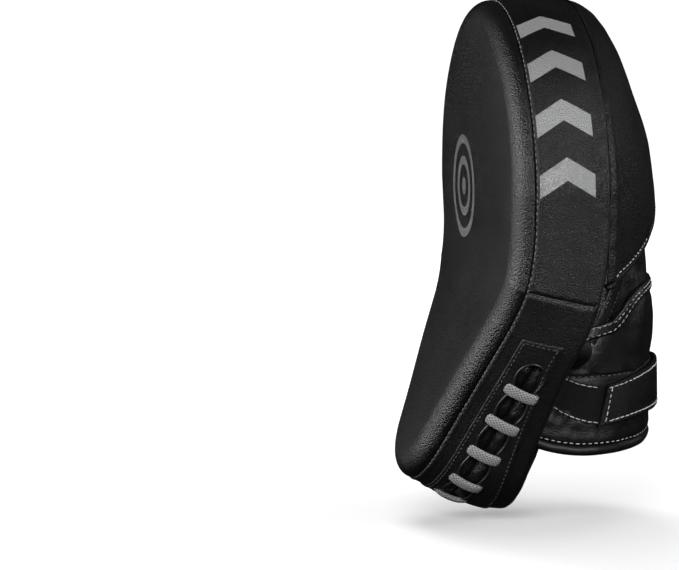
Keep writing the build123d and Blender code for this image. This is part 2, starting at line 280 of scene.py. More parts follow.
def thickness(s):
    share = (s - KINK_DROP) / (FACE_LENGTH - KINK_DROP)
    return THICKNESS + (TIP_THICKNESS - THICKNESS) * np.clip(share, 0, 1.2)


def row(x, depth, drop):
    """Row millimetres of a place given across, behind the face and below the top."""
    x, depth, drop = np.broadcast_arrays(x, depth, drop)
    return np.stack([x, FACE_Y + depth, TOP_Z - drop], axis=-1).astype(float)


def rows_of(flat):
    """(x, depth, drop) triples to row millimetres."""
    return row(flat[..., 0], flat[..., 1], flat[..., 2])


def bent(x, s, t):
    """A point of the pad in row millimetres: across, along the curled face, and deep into it."""
    x, s, t = np.broadcast_arrays(np.asarray(x, float), np.asarray(s, float), np.asarray(t, float))
    angle = np.clip((s - FLAT_LENGTH) / BEND_RADIUS, 0, BEND_ANGLE)
    over = np.maximum(s - FLAT_LENGTH - BEND_RADIUS * BEND_ANGLE, 0)
    depth = -BEND_RADIUS + (BEND_RADIUS + t) * np.cos(angle) - over * np.sin(angle)
    drop = np.minimum(s, FLAT_LENGTH) + (BEND_RADIUS + t) * np.sin(angle) + over * np.cos(angle)
    return row(x, depth, drop)


def rim(along, out, depth):
    """A point near the pad's edge: distance round it, outwards of it, and behind the face."""
    x, s, nx, ns = edge(along)
    return bent(x + nx * out, s + ns * out, depth)


def rim_frame(along, out, depth):
    """A point near the pad's edge, and the way out of the pad there."""
    here = rim(along, out, depth)
    return here, unit(rim(along, out + 1, depth) - here)


def rear_depth(drop):
    """Depth of the pad's back at a drop."""
    drop = np.asarray(drop, float)
    radius = BEND_RADIUS + THICKNESS
    turned = np.clip((drop - FLAT_LENGTH) / radius, 0, math.sin(REAR_BEND))
    straight = np.maximum(drop - FLAT_LENGTH - radius * math.sin(REAR_BEND), 0)
    return -BEND_RADIUS + radius * np.sqrt(1 - turned ** 2) - straight * math.tan(REAR_BEND)


# ---------------------------------------------------------------- mesh helpers
def new_object(name, vertices, faces, uv, smooth_angle=None):
    """vertices in row millimetres, uv one pair per vertex; edges sharper than smooth_angle stay sharp."""
    mesh = bpy.data.meshes.new(name)
    mesh.from_pydata((vertices * MM).tolist(), [], faces)
    layer = mesh.uv_layers.new(name="UVMap")
    corner = np.empty(len(mesh.loops), dtype=np.int32)
    mesh.loops.foreach_get("vertex_index", corner)
    layer.data.foreach_set("uv", uv[corner].astype(np.float32).ravel())
    mesh.shade_smooth()
    if smooth_angle is not None:
        mesh.set_sharp_from_angle(angle=math.radians(smooth_angle))
    obj = bpy.data.objects.new(name, mesh)
    bpy.context.scene.collection.objects.link(obj)
    return obj


def solid(*what):
    """A new object, closed, with its faces pointed outwards."""
    obj = new_object(*what)
    made = bmesh.new()
    made.from_mesh(obj.data)
    bmesh.ops.recalc_face_normals(made, faces=made.faces)
    made.to_mesh(obj.data)
    made.free()
    return obj


def quads_of(index):
    """Faces between the neighbours of a grid of vertex numbers."""
    return np.stack([index[:-1, :-1], index[1:, :-1], index[1:, 1:], index[:-1, 1:]], axis=-1)


def shell(name, points, thick, uv, normal=None, keep=None, loop=False, outward=None):
    """A closed panel: a grid of points, its inner face and its cut edges.

    normal points out of the panel and is worked out if it isn't given.  keep marks the grid's cells
    that exist, and loop joins the last row to the first."""
    rows, columns = points.shape[:2]
    if normal is None:
        normal = facing_away(ring_normals(points) if loop else grid_normals(points), points, outward)
    inner = points - normal * np.broadcast_to(thick, (rows, columns))[..., None]
    count = rows * columns
    index = np.arange(count).reshape(rows, columns)
    if loop:
        index = np.concatenate([index, index[:1]])
    if keep is None:
        keep = np.ones((index.shape[0] - 1, columns - 1), bool)
    outer_faces = quads_of(index)[keep]
    edges = np.concatenate([outer_faces[:, [i, (i + 1) % 4]] for i in range(4)])
    values, counts = np.unique(np.sort(edges, axis=1) @ np.array([count, 1]), return_counts=True)
    free = edges[np.isin(np.sort(edges, axis=1) @ np.array([count, 1]), values[counts == 1])]
    walls = np.stack([free[:, 1], free[:, 0], free[:, 0] + count, free[:, 1] + count], axis=1)
    used, faces = np.unique(np.concatenate([outer_faces, outer_faces[:, ::-1] + count, walls]),
                            return_inverse=True)
    vertices = np.concatenate([points.reshape(-1, 3), inner.reshape(-1, 3)])
    coordinates = np.concatenate([uv.reshape(-1, 2)] * 2)
    return solid(name, vertices[used], faces.reshape(-1, 4).tolist(), coordinates[used], 50)


def ring_solid(name, points, uv, loop=False, smooth_angle=None):
    """A closed solid through rings of points, capped at its ends unless it is a loop."""
    rings, sides = points.shape[:2]
    index = np.arange(rings * sides).reshape(rings, sides)
    around = np.concatenate([index, index[:, :1]], axis=1)
    if loop:
        around = np.concatenate([around, around[:1]])
    faces = quads_of(around).reshape(-1, 4).tolist()
    if not loop:
        faces += [index[0].tolist(), index[-1][::-1].tolist()]
    return solid(name, points.reshape(-1, 3), faces, uv.reshape(-1, 2), smooth_angle)


def carry(name, centre, across, up, section, run=None, girth=None, swell=1.0, **more):
    """A solid of one closed section of (width, height) pairs, carried along a line."""
    offset = across[:, None] * section[None, :, :1] + up[:, None] * section[None, :, 1:]
    run = run_of(centre) if run is None else run
    girth = run_of(section) if girth is None else girth
    uv = np.stack(np.broadcast_arrays(run[:, None], girth[None, :]), axis=-1)
    return ring_solid(name, centre[:, None] + offset * swell, uv, **more)


def frames(line, outward):
    """Across and up for a section along a line, up as near as can be to outward."""
    ahead = unit(np.gradient(line, axis=0))
    up = square_to(outward, ahead)
    return np.cross(ahead, up), up


def power_of(value, power):
    """A power that keeps the sign."""
    return np.sign(value) * np.abs(value) ** power


def oval(width, height, count, power):
    """Closed superellipse section."""
    angle = np.linspace(0, 2 * math.pi, count, endpoint=False)
    return np.stack([width / 2 * power_of(np.cos(angle), 2 / power),
                     height / 2 * power_of(np.sin(angle), 2 / power)], axis=1)


# a stitch's levels along it: place and girth, as shares of its length and its radius
STITCH_ALONG = np.array([-0.5, -0.46, -0.36, -0.15, 0.15, 0.36, 0.46, 0.5])
STITCH_GIRTH = np.array([0.25, 0.7, 0.95, 1.0, 1.0, 0.95, 0.7, 0.25])
STITCH_SIDES, STITCH_SINK, STITCH_FLAT = 6, 0.1, 0.85


def stitches(name, line, normals, pitch=STITCH_PITCH, length=2.55, radius=0.31, seed=1):
    """A sewn row: one small arched thread per stitch along a line on a surface."""
    rng = np.random.default_rng(seed)
    even, _ = resample(np.concatenate([line, normals], axis=1), pitch)
    middle = (even[:-1] + even[1:]) / 2
    centre, normal = middle[:, :3], unit(middle[:, 3:])
    ahead = unit(even[1:, :3] - even[:-1, :3])
    side = unit(np.cross(normal, ahead))
    ahead = unit(ahead + side * rng.uniform(-0.12, 0.12, len(centre))[:, None])
    centre = centre + side * rng.uniform(-0.08, 0.08, len(centre))[:, None]
    stretch = length * rng.uniform(0.92, 1.06, len(centre))
    angle = np.linspace(0, 2 * math.pi, STITCH_SIDES, endpoint=False)
    count, levels = len(centre), len(STITCH_ALONG)
    # every array below runs over stitch, level, side and x-y-z
    centre, ahead, side, normal = (vectors[:, None, None] for vectors in (centre, ahead, side, normal))
    along, girth = (values[None, :, None, None] for values in (STITCH_ALONG, STITCH_GIRTH))
    arch = -1.6 * radius * (2 * np.abs(along)) ** 3 - STITCH_SINK
    round_part = side * np.cos(angle)[:, None] + normal * np.sin(angle)[:, None] * STITCH_FLAT
    stretch = stretch[:, None, None, None]
    rings = centre + ahead * along * stretch + normal * arch + radius * girth * round_part
    base = np.arange(levels * STITCH_SIDES).reshape(levels, STITCH_SIDES)
    turn = np.roll(base, -1, axis=1)
    quads = np.stack([base[:-1], turn[:-1], turn[1:], base[1:]], axis=-1).reshape(-1, 4)
    starts = np.arange(count)[:, None, None] * levels * STITCH_SIDES
    faces = (quads[None] + starts).reshape(-1, 4).tolist()
    faces += (np.stack([base[0, ::-1], base[-1]])[None] + starts).reshape(-1, STITCH_SIDES).tolist()
    uv = np.stack(np.broadcast_arrays((STITCH_ALONG * length)[None, :, None], (angle * radius)[None, None, :],
                                      np.zeros((count, 1, 1)))[:2], axis=-1)
    return new_object(name, rings.reshape(-1, 3), faces, uv.reshape(-1, 2))


# ---------------------------------------------------------------- materials
class Graph:
    """Short ways to add shader nodes.  An input is given a value or another node's output."""

    def __init__(self, tree):
        self.nodes, self.links = tree.nodes, tree.links

    def fill(self, socket, value):
        if isinstance(value, bpy.types.NodeSocket):
            self.links.new(value, socket)
        else:
            socket.default_value = value

    def add(self, kind, **settings):
        """A node with its properties and its inputs by name, where _ stands for a space."""
        made = self.nodes.new("ShaderNode" + kind)
        for key, value in settings.items():
            if key.replace("_", " ") in made.inputs.keys():
                self.fill(made.inputs[key.replace("_", " ")], value)
            else:
                setattr(made, key, value)
        return made

    def shade(self, **inputs):
        """Set inputs of the material's own shader."""
        for key, value in inputs.items():
            self.fill(self.nodes["Principled BSDF"].inputs[key.replace("_", " ")], value)

    def math(self, operation, *values):
        made = self.add("Math", operation=operation)
        for socket, value in zip(made.inputs, values):
            self.fill(socket, value)
        return made.outputs[0]

    def plus(self, a, b):
        return self.math("ADD", a, b)

    def minus(self, a, b):
        return self.math("SUBTRACT", a, b)

    def times(self, a, b):
        return self.math("MULTIPLY", a, b)

    def place(self, scale=1.0):
        """Object coordinates."""
        return self.add("Mapping", Scale=(scale, scale, scale),
                        Vector=self.add("TexCoord").outputs["Object"]).outputs["Vector"]

    def uv(self):
        parts = self.add("SeparateXYZ", Vector=self.add("UVMap").outputs["UV"]).outputs
        return parts["X"], parts["Y"]

    def noise(self, place, scale, detail=3.0, **more):
        return self.add("TexNoise", Vector=place, Scale=scale, Detail=detail, **more).outputs["Fac"]

    def level(self, value, **ends):
        return self.add("MapRange", Value=value, **ends).outputs["Result"]

    def mix(self, kind, factor, a, b):
        return self.add("Mix", data_type=kind, Factor=factor, A=a, B=b).outputs["Result"]

    def ramp(self, source, *stops):
        """A colour ramp through (position, grey or colour) stops."""
        made = self.add("ValToRGB", Fac=source)
        elements = made.color_ramp.elements
        while len(elements) < len(stops):
            elements.new(0.5)
        for element, (position, value) in zip(elements, stops):
            element.position = position
            element.color = (value, value, value, 1) if np.isscalar(value) else (*value, 1)
        return made.outputs["Color"]

    def bump(self, height, distance, strength=1.0):
        """Relief of the material, its distance in millimetres."""
        made = self.add("Bump", Strength=strength, Distance=distance * MM, Height=height)
        self.shade(Normal=made.outputs["Normal"])

    def blend_shaders(self, factor, first, second, output):
        both = self.add("MixShader")
        for socket, value in zip(both.inputs, (factor, first, second)):
            self.fill(socket, value)
        self.fill(self.nodes[output].inputs["Surface"], both.outputs["Shader"])


def material(name):
    made = bpy.data.materials.new(name)
    made.use_nodes = True
    return made, Graph(made.node_tree)


def leather(name, colour=0.011, roughness=0.42, grain=0.75, depth=0.65, crease=0.3, shine=0.36, ink=None):
    """Synthetic leather: pebbled grain about a millimetre across, faint creases and rubbed spots.

    grain is the size of a pebble in millimetres and shine the specular level.  ink, if given, makes the
    mask of a printed mark."""
    made, graph = material(name)
    place = graph.place(1.0 / (grain * MM))
    cells = graph.add("TexVoronoi", feature="SMOOTH_F1", Smoothness=0.35, Randomness=1.0, Scale=1.0,
                      Vector=place)
    fine_noise = graph.noise(place, 2.3, Roughness=0.6)
    long_noise = graph.noise(place, 0.035, 4.0, Roughness=0.55)
    folds = graph.noise(place, 0.12, 2.0, Roughness=0.5, Distortion=0.6)
    pebbles = graph.plus(graph.times(cells.outputs["Distance"], -1.0), graph.times(fine_noise, 0.45))
    graph.bump(graph.plus(pebbles, graph.times(folds, crease)), depth * 0.5)
    tone = graph.mix("RGBA", graph.ramp(long_noise, (0.30, 0.0), (0.72, 1.0)),
                     (colour * 0.82, colour * 0.82, colour * 0.86, 1),
                     (colour * 1.35, colour * 1.35, colour * 1.38, 1))
    rough = graph.level(long_noise, To_Min=roughness - 0.05, To_Max=roughness + 0.09)
    if ink is not None:
        mask = ink(graph)
        speckle = graph.ramp(fine_noise, (0.25, (0.30, 0.303, 0.306)), (0.8, (0.42, 0.423, 0.427)))
        tone = graph.mix("RGBA", mask, tone, speckle)
        rough = graph.mix("FLOAT", mask, rough, 0.32)
        graph.shade(Metallic=graph.times(mask, 0.35))
    graph.shade(Base_Color=tone, Roughness=rough, Specular_IOR_Level=shine)
    return made


def thread(name, low, high, roughness=0.55):
    """Twisted sewing thread: slanting plies along each stitch, coloured darker in the grooves between them as
    painted shade, and varied at random.
    """
    made, graph = material(name)
    u, v = graph.uv()
    slant = graph.plus(graph.times(u, 11.0), graph.times(v, 6.0))
    ply = graph.math("MULTIPLY_ADD", graph.math("SINE", slant), 0.5, 0.5)
    dirt = graph.noise(graph.place(), 320.0)
    graph.bump(ply, 0.06, 0.8)
    # the ramp darkens the low part of each ply as painted shade in the grooves; dirt varies it at random
    graph.shade(Base_Color=graph.ramp(graph.times(ply, dirt), (0.0, low), (0.6, high)),
                Roughness=roughness, Sheen_Weight=0.2)
    return made


def fabric(name, low, high, pitch=0.7, depth=0.25, roughness=0.85, sheen=0.2, slots=False):
    """Knitted or woven cloth: crossing rows of yarn, coloured darker where the yarn is low as painted shade;
    slots paints its lowest places near black, as painted shade in place of the holes of a coarse mesh.
    """
    made, graph = material(name)
    place = graph.place()
    turned = graph.add("VectorRotate", rotation_type="EULER_XYZ", Rotation=(0.5, 0.35, 0.8), Vector=place)
    parts = graph.add("SeparateXYZ", Vector=turned.outputs["Vector"]).outputs
    one, two, three = (graph.math("SINE", graph.times(part, 2 * math.pi / (pitch * MM))) for part in parts)
    yarn = graph.plus(graph.times(one, two), graph.times(three, 0.5))
    height = graph.plus(yarn, graph.noise(place, 900.0))
    # dark where the height is low: painted shade between the yarns, and with slots the near black of painted
    # holes
    stops = ((0.34, 0.012), (0.42, low), (0.70, high)) if slots else ((0.30, low), (0.62, high))
    graph.bump(height, depth)
    graph.shade(Base_Color=graph.ramp(graph.level(height, From_Min=-1.0, From_Max=2.2), *stops),
                Roughness=roughness, Sheen_Weight=sheen, Sheen_Roughness=0.4)
    return made


BRAID_U = 2 * math.pi / 2.0       # radians per millimetre along the lace
BRAID_V = 2 * math.pi / 1.75      # and across it


def braid(name):
    """Flat braided lace: light yarn, coloured darker where the braid is low, as painted shade in the gaps
    where the strands cross.
    """
    made, graph = material(name)
    u, v = graph.uv()
    one, two = (graph.math("SINE", graph.math(way, graph.times(u, BRAID_U), graph.times(v, BRAID_V)))
                for way in ("ADD", "SUBTRACT"))
    height = graph.plus(graph.math("MAXIMUM", one, two), graph.noise(graph.place(), 1400.0))
    graph.bump(height, 0.12, 0.9)
    # colour follows the braid's height: painted shade in its low gaps, light yarn on its crests
    graph.shade(Base_Color=graph.ramp(graph.level(height, From_Min=-0.2, From_Max=1.6),
                                      (0.0, 0.10), (0.4, 0.42), (1.0, 0.68)),
                Roughness=0.8, Sheen_Weight=0.3)
    return made


def fuzz(name):
    """Loop tape: matted short pile."""
    made, graph = material(name)
    place = graph.place()
    pile = graph.noise(place, 1500.0, 6.0, Roughness=0.75, Distortion=1.2)
    graph.bump(graph.plus(pile, graph.noise(place, 260.0)), 0.5)
    graph.shade(Base_Color=graph.ramp(pile, (0.42, 0.003), (0.72, 0.016)), Roughness=0.95,
                Sheen_Weight=0.06, Sheen_Roughness=0.6, Specular_IOR_Level=0.15)
    return made


def chevron_mask(first, count, pitch, middle, half, slope, bar):
    """Printed chevrons in a row: u runs along the band, v across it."""
    def build(graph):
        u, v = graph.uv()
        off = graph.math("ABSOLUTE", graph.minus(v, middle))
        run = graph.minus(graph.plus(u, graph.times(off, slope)), first)
        inside = graph.math("LESS_THAN", graph.math("FLOORED_MODULO", run, pitch), bar)
        mask = graph.times(inside, graph.math("GREATER_THAN", run, 0.0))
        mask = graph.times(mask, graph.math("LESS_THAN", run, pitch * count))
        return graph.times(mask, graph.math("LESS_THAN", off, half))
    return build


def ring_mask(centre, rings):
    """Printed rings round a point of the face; u, v are millimetres across and down it."""
    def build(graph):
        du, dv = (graph.minus(part, middle) for part, middle in zip(graph.uv(), centre))
        distance = graph.math("SQRT", graph.plus(graph.times(du, du), graph.times(dv, dv)))
        total = None
        for low, high in rings:
            one = graph.times(graph.math("GREATER_THAN", distance, low),
                              graph.math("LESS_THAN", distance, high))
            total = one if total is None else graph.plus(total, one)
        return total
    return build


FACE_MARK = ring_mask((-28.0, 95.0), ((0, 4.5), (11, 15.5), (22, 26.5)))
BAND_MARK = chevron_mask(first=197.0, count=4, pitch=29.0, middle=25.0, half=13.5, slope=0.62, bar=11.0)
# each look's slot in the record, if it has one, and its material
LOOKS = {
    "face": ("face_leather", leather("leather_face", 0.0050, 0.30, ink=FACE_MARK)),
    "band": ("band_leather", leather("leather_band", 0.0050, 0.31, grain=0.7, depth=0.8, shine=0.34,
                                     ink=BAND_MARK)),
    "lower": ("pad_leather", leather("leather_lower_band", 0.0060, 0.42)),
    "hood": ("hood_leather", leather("leather_hood", 0.0050, 0.38, shine=0.26)),
    "glove": ("glove_leather", leather("leather_glove", 0.006, 0.34, grain=0.7, depth=0.22, crease=0.6)),
    "cuff": ("cuff_leather", leather("leather_cuff", 0.0050, 0.40, depth=0.25, crease=0.2, shine=0.16)),
    "strap": ("strap_leather", leather("leather_strap", 0.0045, 0.44, shine=0.14)),
    "tongue": ("tongue_leather", leather("leather_tongue", 0.009, 0.38, crease=0.7)),
    # the slit's piping: glossier than the other leather, and coloured lighter as a painted highlight on the
    # slit's rims
    "piping": ("pad_leather", leather("slit_edge_painted_highlight", 0.022, 0.30, grain=0.6, depth=0.1)),
    "binding": ("binding", leather("binding_tape", 0.006, 0.42, grain=0.6, depth=0.15, shine=0.2)),
    "white": (None, thread("thread_white", 0.70, 0.95)),
    "black": (None, thread("thread_black", 0.012, 0.09, 0.4)),
    "dim": (None, thread("thread_dark_grey", 0.05, 0.22, 0.45)),
    "grey": (None, thread("thread_grey", 0.12, 0.45, 0.45)),
    "lining": ("lining_fabric", fabric("lining_knit", 0.008, 0.03, pitch=1.1)),
    "mesh": ("mesh_fabric", fabric("mesh_knit", 0.10, 0.26, pitch=1.3, depth=0.4, slots=True)),
    "lace": ("lace_cord", braid("lace_braid")),
    "loop": ("loop_fabric", fuzz("loop_tape")),
    "hook": ("hook_tape", fabric("hook_tape_moulded", 0.006, 0.02, pitch=1.2, depth=0.5, roughness=0.5,
                                 sheen=0.0)),
    "suede": ("grip_leather", leather("grip_suede", 0.012, 0.75, grain=0.5)),
}


def finish_piece(obj, look, *nodes, body="mitt", pad=None):
    """Give a piece its material and hide the CAD nodes that it stands for; hang it from its body, or, where
    the body is a fold, only bake its place into its mesh.
    """
    slot, made = LOOKS[look]
    obj.data.materials.clear()
    obj.data.materials.append(made)
    if isinstance(body, str):
        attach(obj, body)
    else:
        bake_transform(obj)
    if nodes:
        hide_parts(*nodes)


def sew(name, line, normals, look="white", body="mitt", **more):
    finish_piece(stitches(name, line, normals, **more), look, body=body)


# ---------------------------------------------------------------- striking face
def rings_inwards(x, s, nx, ns, insets, shares):
    """Rings of (x, s) in from the pad's edge: first by insets, then by shares of the way to the centre."""
    rings = []
    for place, out, centre in ((x, nx, FACE_CENTRE[0]), (s, ns, FACE_CENTRE[1])):
        near = place[:, None] - out[:, None] * insets
        rings.append(np.concatenate([near, near[:, -1:] + (centre - near[:, -1:]) * shares], axis=1))
    return rings


def face_swell(flat):
    return 0.30 * waves(flat, 70, 11)


def make_face():
    """The face's skin: its roll at the seam, its flat, and a fan that closes each side at the centre."""
    along = even_steps(-HALF_ROUND, HALF_ROUND, 0.8)[:-1]
    roll = np.linspace(0, math.pi / 2, 12)
    insets = np.concatenate([[1.7, 0.7, 0.1], FACE_ROLL * (1 - np.cos(roll))])
    depths = np.concatenate([[0.3, 0.1, -0.25], -0.5 - (SEAM_DEPTH - 0.5) * np.sin(roll)]) + SEAM_DEPTH
    shares = np.array([0.18, 0.24, 0.31, 0.39, 0.48, 0.58, 0.69, 0.80, 0.90, 0.97])
    gx, gs = rings_inwards(*edge(along), insets, shares)
    gt = np.broadcast_to(np.concatenate([depths, 0 * shares]), gx.shape)
    ring = np.arange(gx.shape[1])
    swell = face_swell(np.stack([gx, gs, gt], axis=-1)) * smooth(ring, 6, 16)
    points = bent(gx, gs, gt + 0.35 * pucker(along)[:, None] * np.exp(-ring / 2.5) + swell)
    middle = bent(*FACE_CENTRE, face_swell(np.array([[*FACE_CENTRE, 0.0]])))
    normal = facing_away(ring_normals(points), points, (0, -1, 0))
    vertices = np.concatenate([points.reshape(-1, 3), (points - normal * LEATHER).reshape(-1, 3),
                               middle, middle + [0, LEATHER, 0]])
    coordinates = np.concatenate([np.stack([gx, gs], axis=-1).reshape(-1, 2)] * 2 + [[FACE_CENTRE]] * 2)
    count = gx.size
    around = np.arange(count).reshape(gx.shape)
    around = np.concatenate([around, around[:1]])
    quads = quads_of(around).reshape(-1, 4)
    near, on = around[:-1, 0], around[1:, 0]
    walls = np.stack([on, near, near + count, on + count], axis=1)
    near, on = around[:-1, -1], around[1:, -1]
    fans = np.concatenate([np.stack([near, on, 0 * near + 2 * count], axis=1),
                           np.stack([on + count, near + count, 0 * near + 2 * count + 1], axis=1)])
    faces = np.concatenate([quads, quads[:, ::-1] + count, walls]).tolist() + fans.tolist()
    return solid("face_panel", vertices, faces, coordinates)


finish_piece(make_face(), "face", "striking_face", "impact_foam", pad=0.95)


# ---------------------------------------------------------------- side bands
def rear_ease(s):
    """How much the rear edge is rounded off below the kink."""
    return 4.6 * smooth(s, KINK_DROP - 2, KINK_DROP + 34) * (1 - 0.35 * smooth(s, 195, FACE_LENGTH))


def rear_line(s):
    """Depth of the band's rear seam."""
    return thickness(s) - rear_ease(s)


def wrist_round(along, t):
    """The wrist end's rear corner is well rounded."""
    return 3.8 * np.clip((t - 43) / 21, 0, 1.05) ** 2 * bell(np.asarray(along), 55)


def band_crown(along, t, s):
    """Height of the side band without its seams."""
    share = np.clip((t - SEAM_DEPTH) / (rear_line(s) - SEAM_DEPTH), 0, 1)
    return BAND_CROWN * np.sin(math.pi * share) ** 0.7 - wrist_round(along, t)


def band_out(along, t):
    """How far the side band stands out of the pad's outline: crowned, drawn in at its seams."""
    x, s, _, _ = edge(along)
    back, seam, kink = rear_line(s), t - SEAM_DEPTH, np.abs(along) - KINK_RUN
    front_seam = 0.35 * bell(seam - 2.0, 0.9) - 1.7 * bell(seam, 0.5)
    front_seam = front_seam - 0.30 * pucker(along) * np.exp(-seam / 1.6)
    kink_seam = -1.0 * bell(kink, 0.9) - 0.25 * pucker(t) * np.exp(-np.abs(kink) / 1.8)
    swell = 0.35 * waves(np.stack([x, s, t], axis=-1), 34, 21) * np.sin(math.pi * seam / (back - SEAM_DEPTH))
    return band_crown(along, t, s) + front_seam - 1.2 * bell(back - t, 0.9) + kink_seam + swell


def make_band(name, along, kept=None):
    """Part of the side band; kept says by place round the edge and by depth where it has leather."""
    a, share = np.meshgrid(along, crowded(46, 1.5), indexing="ij")
    t = SEAM_DEPTH + share * (rear_line(edge(a)[1]) - SEAM_DEPTH)
    keep = None if kept is None else kept((a[:-1, :-1] + a[1:, 1:]) / 2, (t[:-1, :-1] + t[1:, 1:]) / 2)
    uv = np.stack([np.abs(a) if kept is None else a, t], axis=-1)
    return shell(name, rim(a, band_out(a, t), t), LEATHER, uv, keep=keep)


def outside_facing(along, t):
    """Where the lower band isn't hidden by the facing."""
    rear = rear_line(edge(np.abs(along))[1]) - FACING_BACK
    return ~((np.abs(along) < FACING_END - 4) & (t > FACING_FRONT + 3) & (t < rear - 3))


upper_run = even_steps(KINK_RUN, 2 * HALF_ROUND - KINK_RUN, 0.8)
upper_run = np.where(upper_run > HALF_ROUND, upper_run - 2 * HALF_ROUND, upper_run)
finish_piece(make_band("band_upper", upper_run), "band", "side_band_upper", "cushion_foam", pad=0.95)
lower_run = even_steps(-KINK_RUN, KINK_RUN, 0.8)
finish_piece(make_band("band_lower", lower_run, outside_facing), "lower", "side_band_lower")


# ---------------------------------------------------------------- slit, facing, tongue and lace
def near_bar(along, width):
    """1 under the middle of each lace bar."""
    return bell(((along / LACE_PITCH) % 1.0 - 0.5) * LACE_PITCH, width)


def slit_half(along):
    """Half the slit's opening: a lens between each pair of lace bars, closed in a round end."""
    bars = 0.5 + 0.5 * np.cos(2 * math.pi * (along / LACE_PITCH - 0.5))
    end = np.clip((SLIT_END - np.abs(along)) / SLIT_ROUND, 0, 1)
    return (5.6 + 1.5 * (1 - bars)) * np.sqrt(np.clip(1 - (1 - end) ** 2, 0, 1))


def facing_crown(along, t):
    """Height of the side band under the facing."""
    return band_crown(along, t, edge(along)[1]) + 0.15 * waves(np.stack([along, t, t * 0], axis=-1), 26, 31)


def facing_rear(along):
    return rear_line(edge(along)[1]) - FACING_BACK


def pairs(along, t):
    return np.stack(np.broadcast_arrays(along, t), axis=-1)


def facing_outlines():
    """The slit's lip and the facing's sewn edge, as matching rings of (along, depth)."""
    last = SLIT_END - SLIT_ROUND
    straight, turn = np.linspace(-last, last, 210), np.linspace(0, math.pi, 41)[1:-1]
    round_end = pairs(last + SLIT_ROUND * np.sin(turn), -float(slit_half(np.array([last]))[0]) * np.cos(turn))
    half = slit_half(straight)
    inside = np.concatenate([pairs(straight, -half), round_end, pairs(straight[::-1], half[::-1]),
                             round_end[::-1] * (-1, 1)]) + (0, SLIT_DEPTH)
    corner = 12                                      # points along the front and the rear of each end
    low, high = FACING_FRONT, float(facing_rear(np.array([FACING_END]))[0])
    lean, climb = FACING_SLANT * (high - low) / 2, np.linspace(low, high, len(turn) - 2 * corner + 2)[1:-1]
    reach_low, reach_high = (np.linspace(last, FACING_END + way, corner + 1)[1:] for way in (-lean, lean))
    end = np.concatenate([pairs(reach_low, FACING_FRONT),
                          pairs(FACING_END + FACING_SLANT * (climb - (low + high) / 2), climb),
                          pairs(reach_high[::-1], facing_rear(reach_high[::-1]))])
    outside = np.concatenate([pairs(straight, FACING_FRONT), end,
                              pairs(straight[::-1], facing_rear(straight[::-1])), end[::-1] * (-1, 1)])
    return inside, outside


def make_facing():
    """Reinforcement round the slit: rings of points from the slit's lip to the sewn edge."""
    shares = np.concatenate([[-0.10, -0.07, -0.03, 0.0, 0.03, 0.07], np.linspace(0.12, 0.90, 12),
                             [0.95, 0.98, 1.0]])
    heights = np.array([-3.2, -1.4, -0.1, 0.55, 0.85, 0.9] + [0.9] * 12 + [0.85, 0.7, 0.45])
    turned_in = np.array([0.5, 0.55, 0.25] + [0.0] * (len(shares) - 3))
    way = (facing_edge - slit_edge)[:, None]
    grid = slit_edge[:, None] + way * np.maximum(shares, 0)[:, None] - unit(way) * turned_in[:, None]
    a, t = grid[..., 0], grid[..., 1]
    pressed = 0.8 * near_bar(a, 3.2) * (np.abs(a) < BAR_REACH)
    pressed = pressed * np.exp(-np.clip(np.abs(t - SLIT_DEPTH) - 5.0, 0, 20) / 3.5)
    return shell("facing", rim(a, facing_crown(a, t) + heights - pressed, t), 0.9, grid, loop=True)


def slit_piping():
    """Turned edge of the leather round the slit, in glossier leather coloured lighter as a painted highlight
    on the slit's rims.
    """
    spots, _ = resample(np.concatenate([slit_edge, slit_edge[:1]]), 0.7)
    a, t = spots[:-1].T
    line, up = rim_frame(a, facing_crown(a, t) + 0.55 - 0.8 * near_bar(a, 3.2) * (np.abs(a) < BAR_REACH), t)
    ahead = unit(np.roll(line, -1, axis=0) - np.roll(line, 1, axis=0))
    up = square_to(up, ahead)
    return carry("slit_piping", line, np.cross(ahead, up), up, oval(1.5, 1.5, 14, 2.0), loop=True,
                 smooth_angle=60)


def make_tongue():
    """Two soft rolls side by side under the slit, pressed down under each lace bar."""
    along = even_steps(-SLIT_END - 4, SLIT_END + 4, 0.9)
    a, w = np.meshgrid(along, np.linspace(-TONGUE_HALF, TONGUE_HALF, 53), indexing="ij")
    wander = 0.5 * np.sin(a / 17.0) + 0.3 * np.sin(a / 5.3 + 1)
    rolls = np.sqrt(np.clip(1 - ((np.abs(w + wander) - 3.7) / 3.9) ** 2, 0.0, 1))
    height = -4.6 + (4.4 - 1.5 * near_bar(a, 4.5)) * rolls * smooth(SLIT_END + 2 - np.abs(a), 0, 9)
    height -= 0.9 * smooth(np.abs(w), 6.5, 10)
    height += 2.6 * (1 - smooth(np.abs(a), 26, 62)) * (1 - 0.35 * rolls)
    x, s, _, _ = edge(a)
    flat = np.stack([x, s, w], axis=-1)
    height += 0.35 * waves(flat, 13, 41) + 0.25 * waves(flat, 6, 42)
    return shell("tongue", rim(a, height, SLIT_DEPTH + w), 1.6, pairs(a, w))


def lace_corners():
    """The lace's route: place round the edge, depth, height, and 1 where it lies flat inside."""
    inner = LACE_HALF - LACE_TURN
    half = np.array([(inner, -3.6), (inner, -0.5), (LACE_HALF, 1.6), (0.62 * LACE_HALF, 2.7),
                     (0.3 * LACE_HALF, 3.05)])
    across, height = np.concatenate([half, [(0.0, 3.15)], half[::-1] * (-1, 1)]).T
    corners = []
    for bar in range(LACE_BARS):
        place = (bar - (LACE_BARS - 1) / 2) * LACE_PITCH
        skew = math.copysign(BAR_SKEWS[min(bar, LACE_BARS - 1 - bar)], -place)
        reach = across * (-1 if bar % 2 == 0 else 1)
        corners.append(np.stack([place + skew * reach / LACE_HALF, SLIT_DEPTH + reach, height, height < -2],
                                axis=1))
    return np.concatenate(corners)


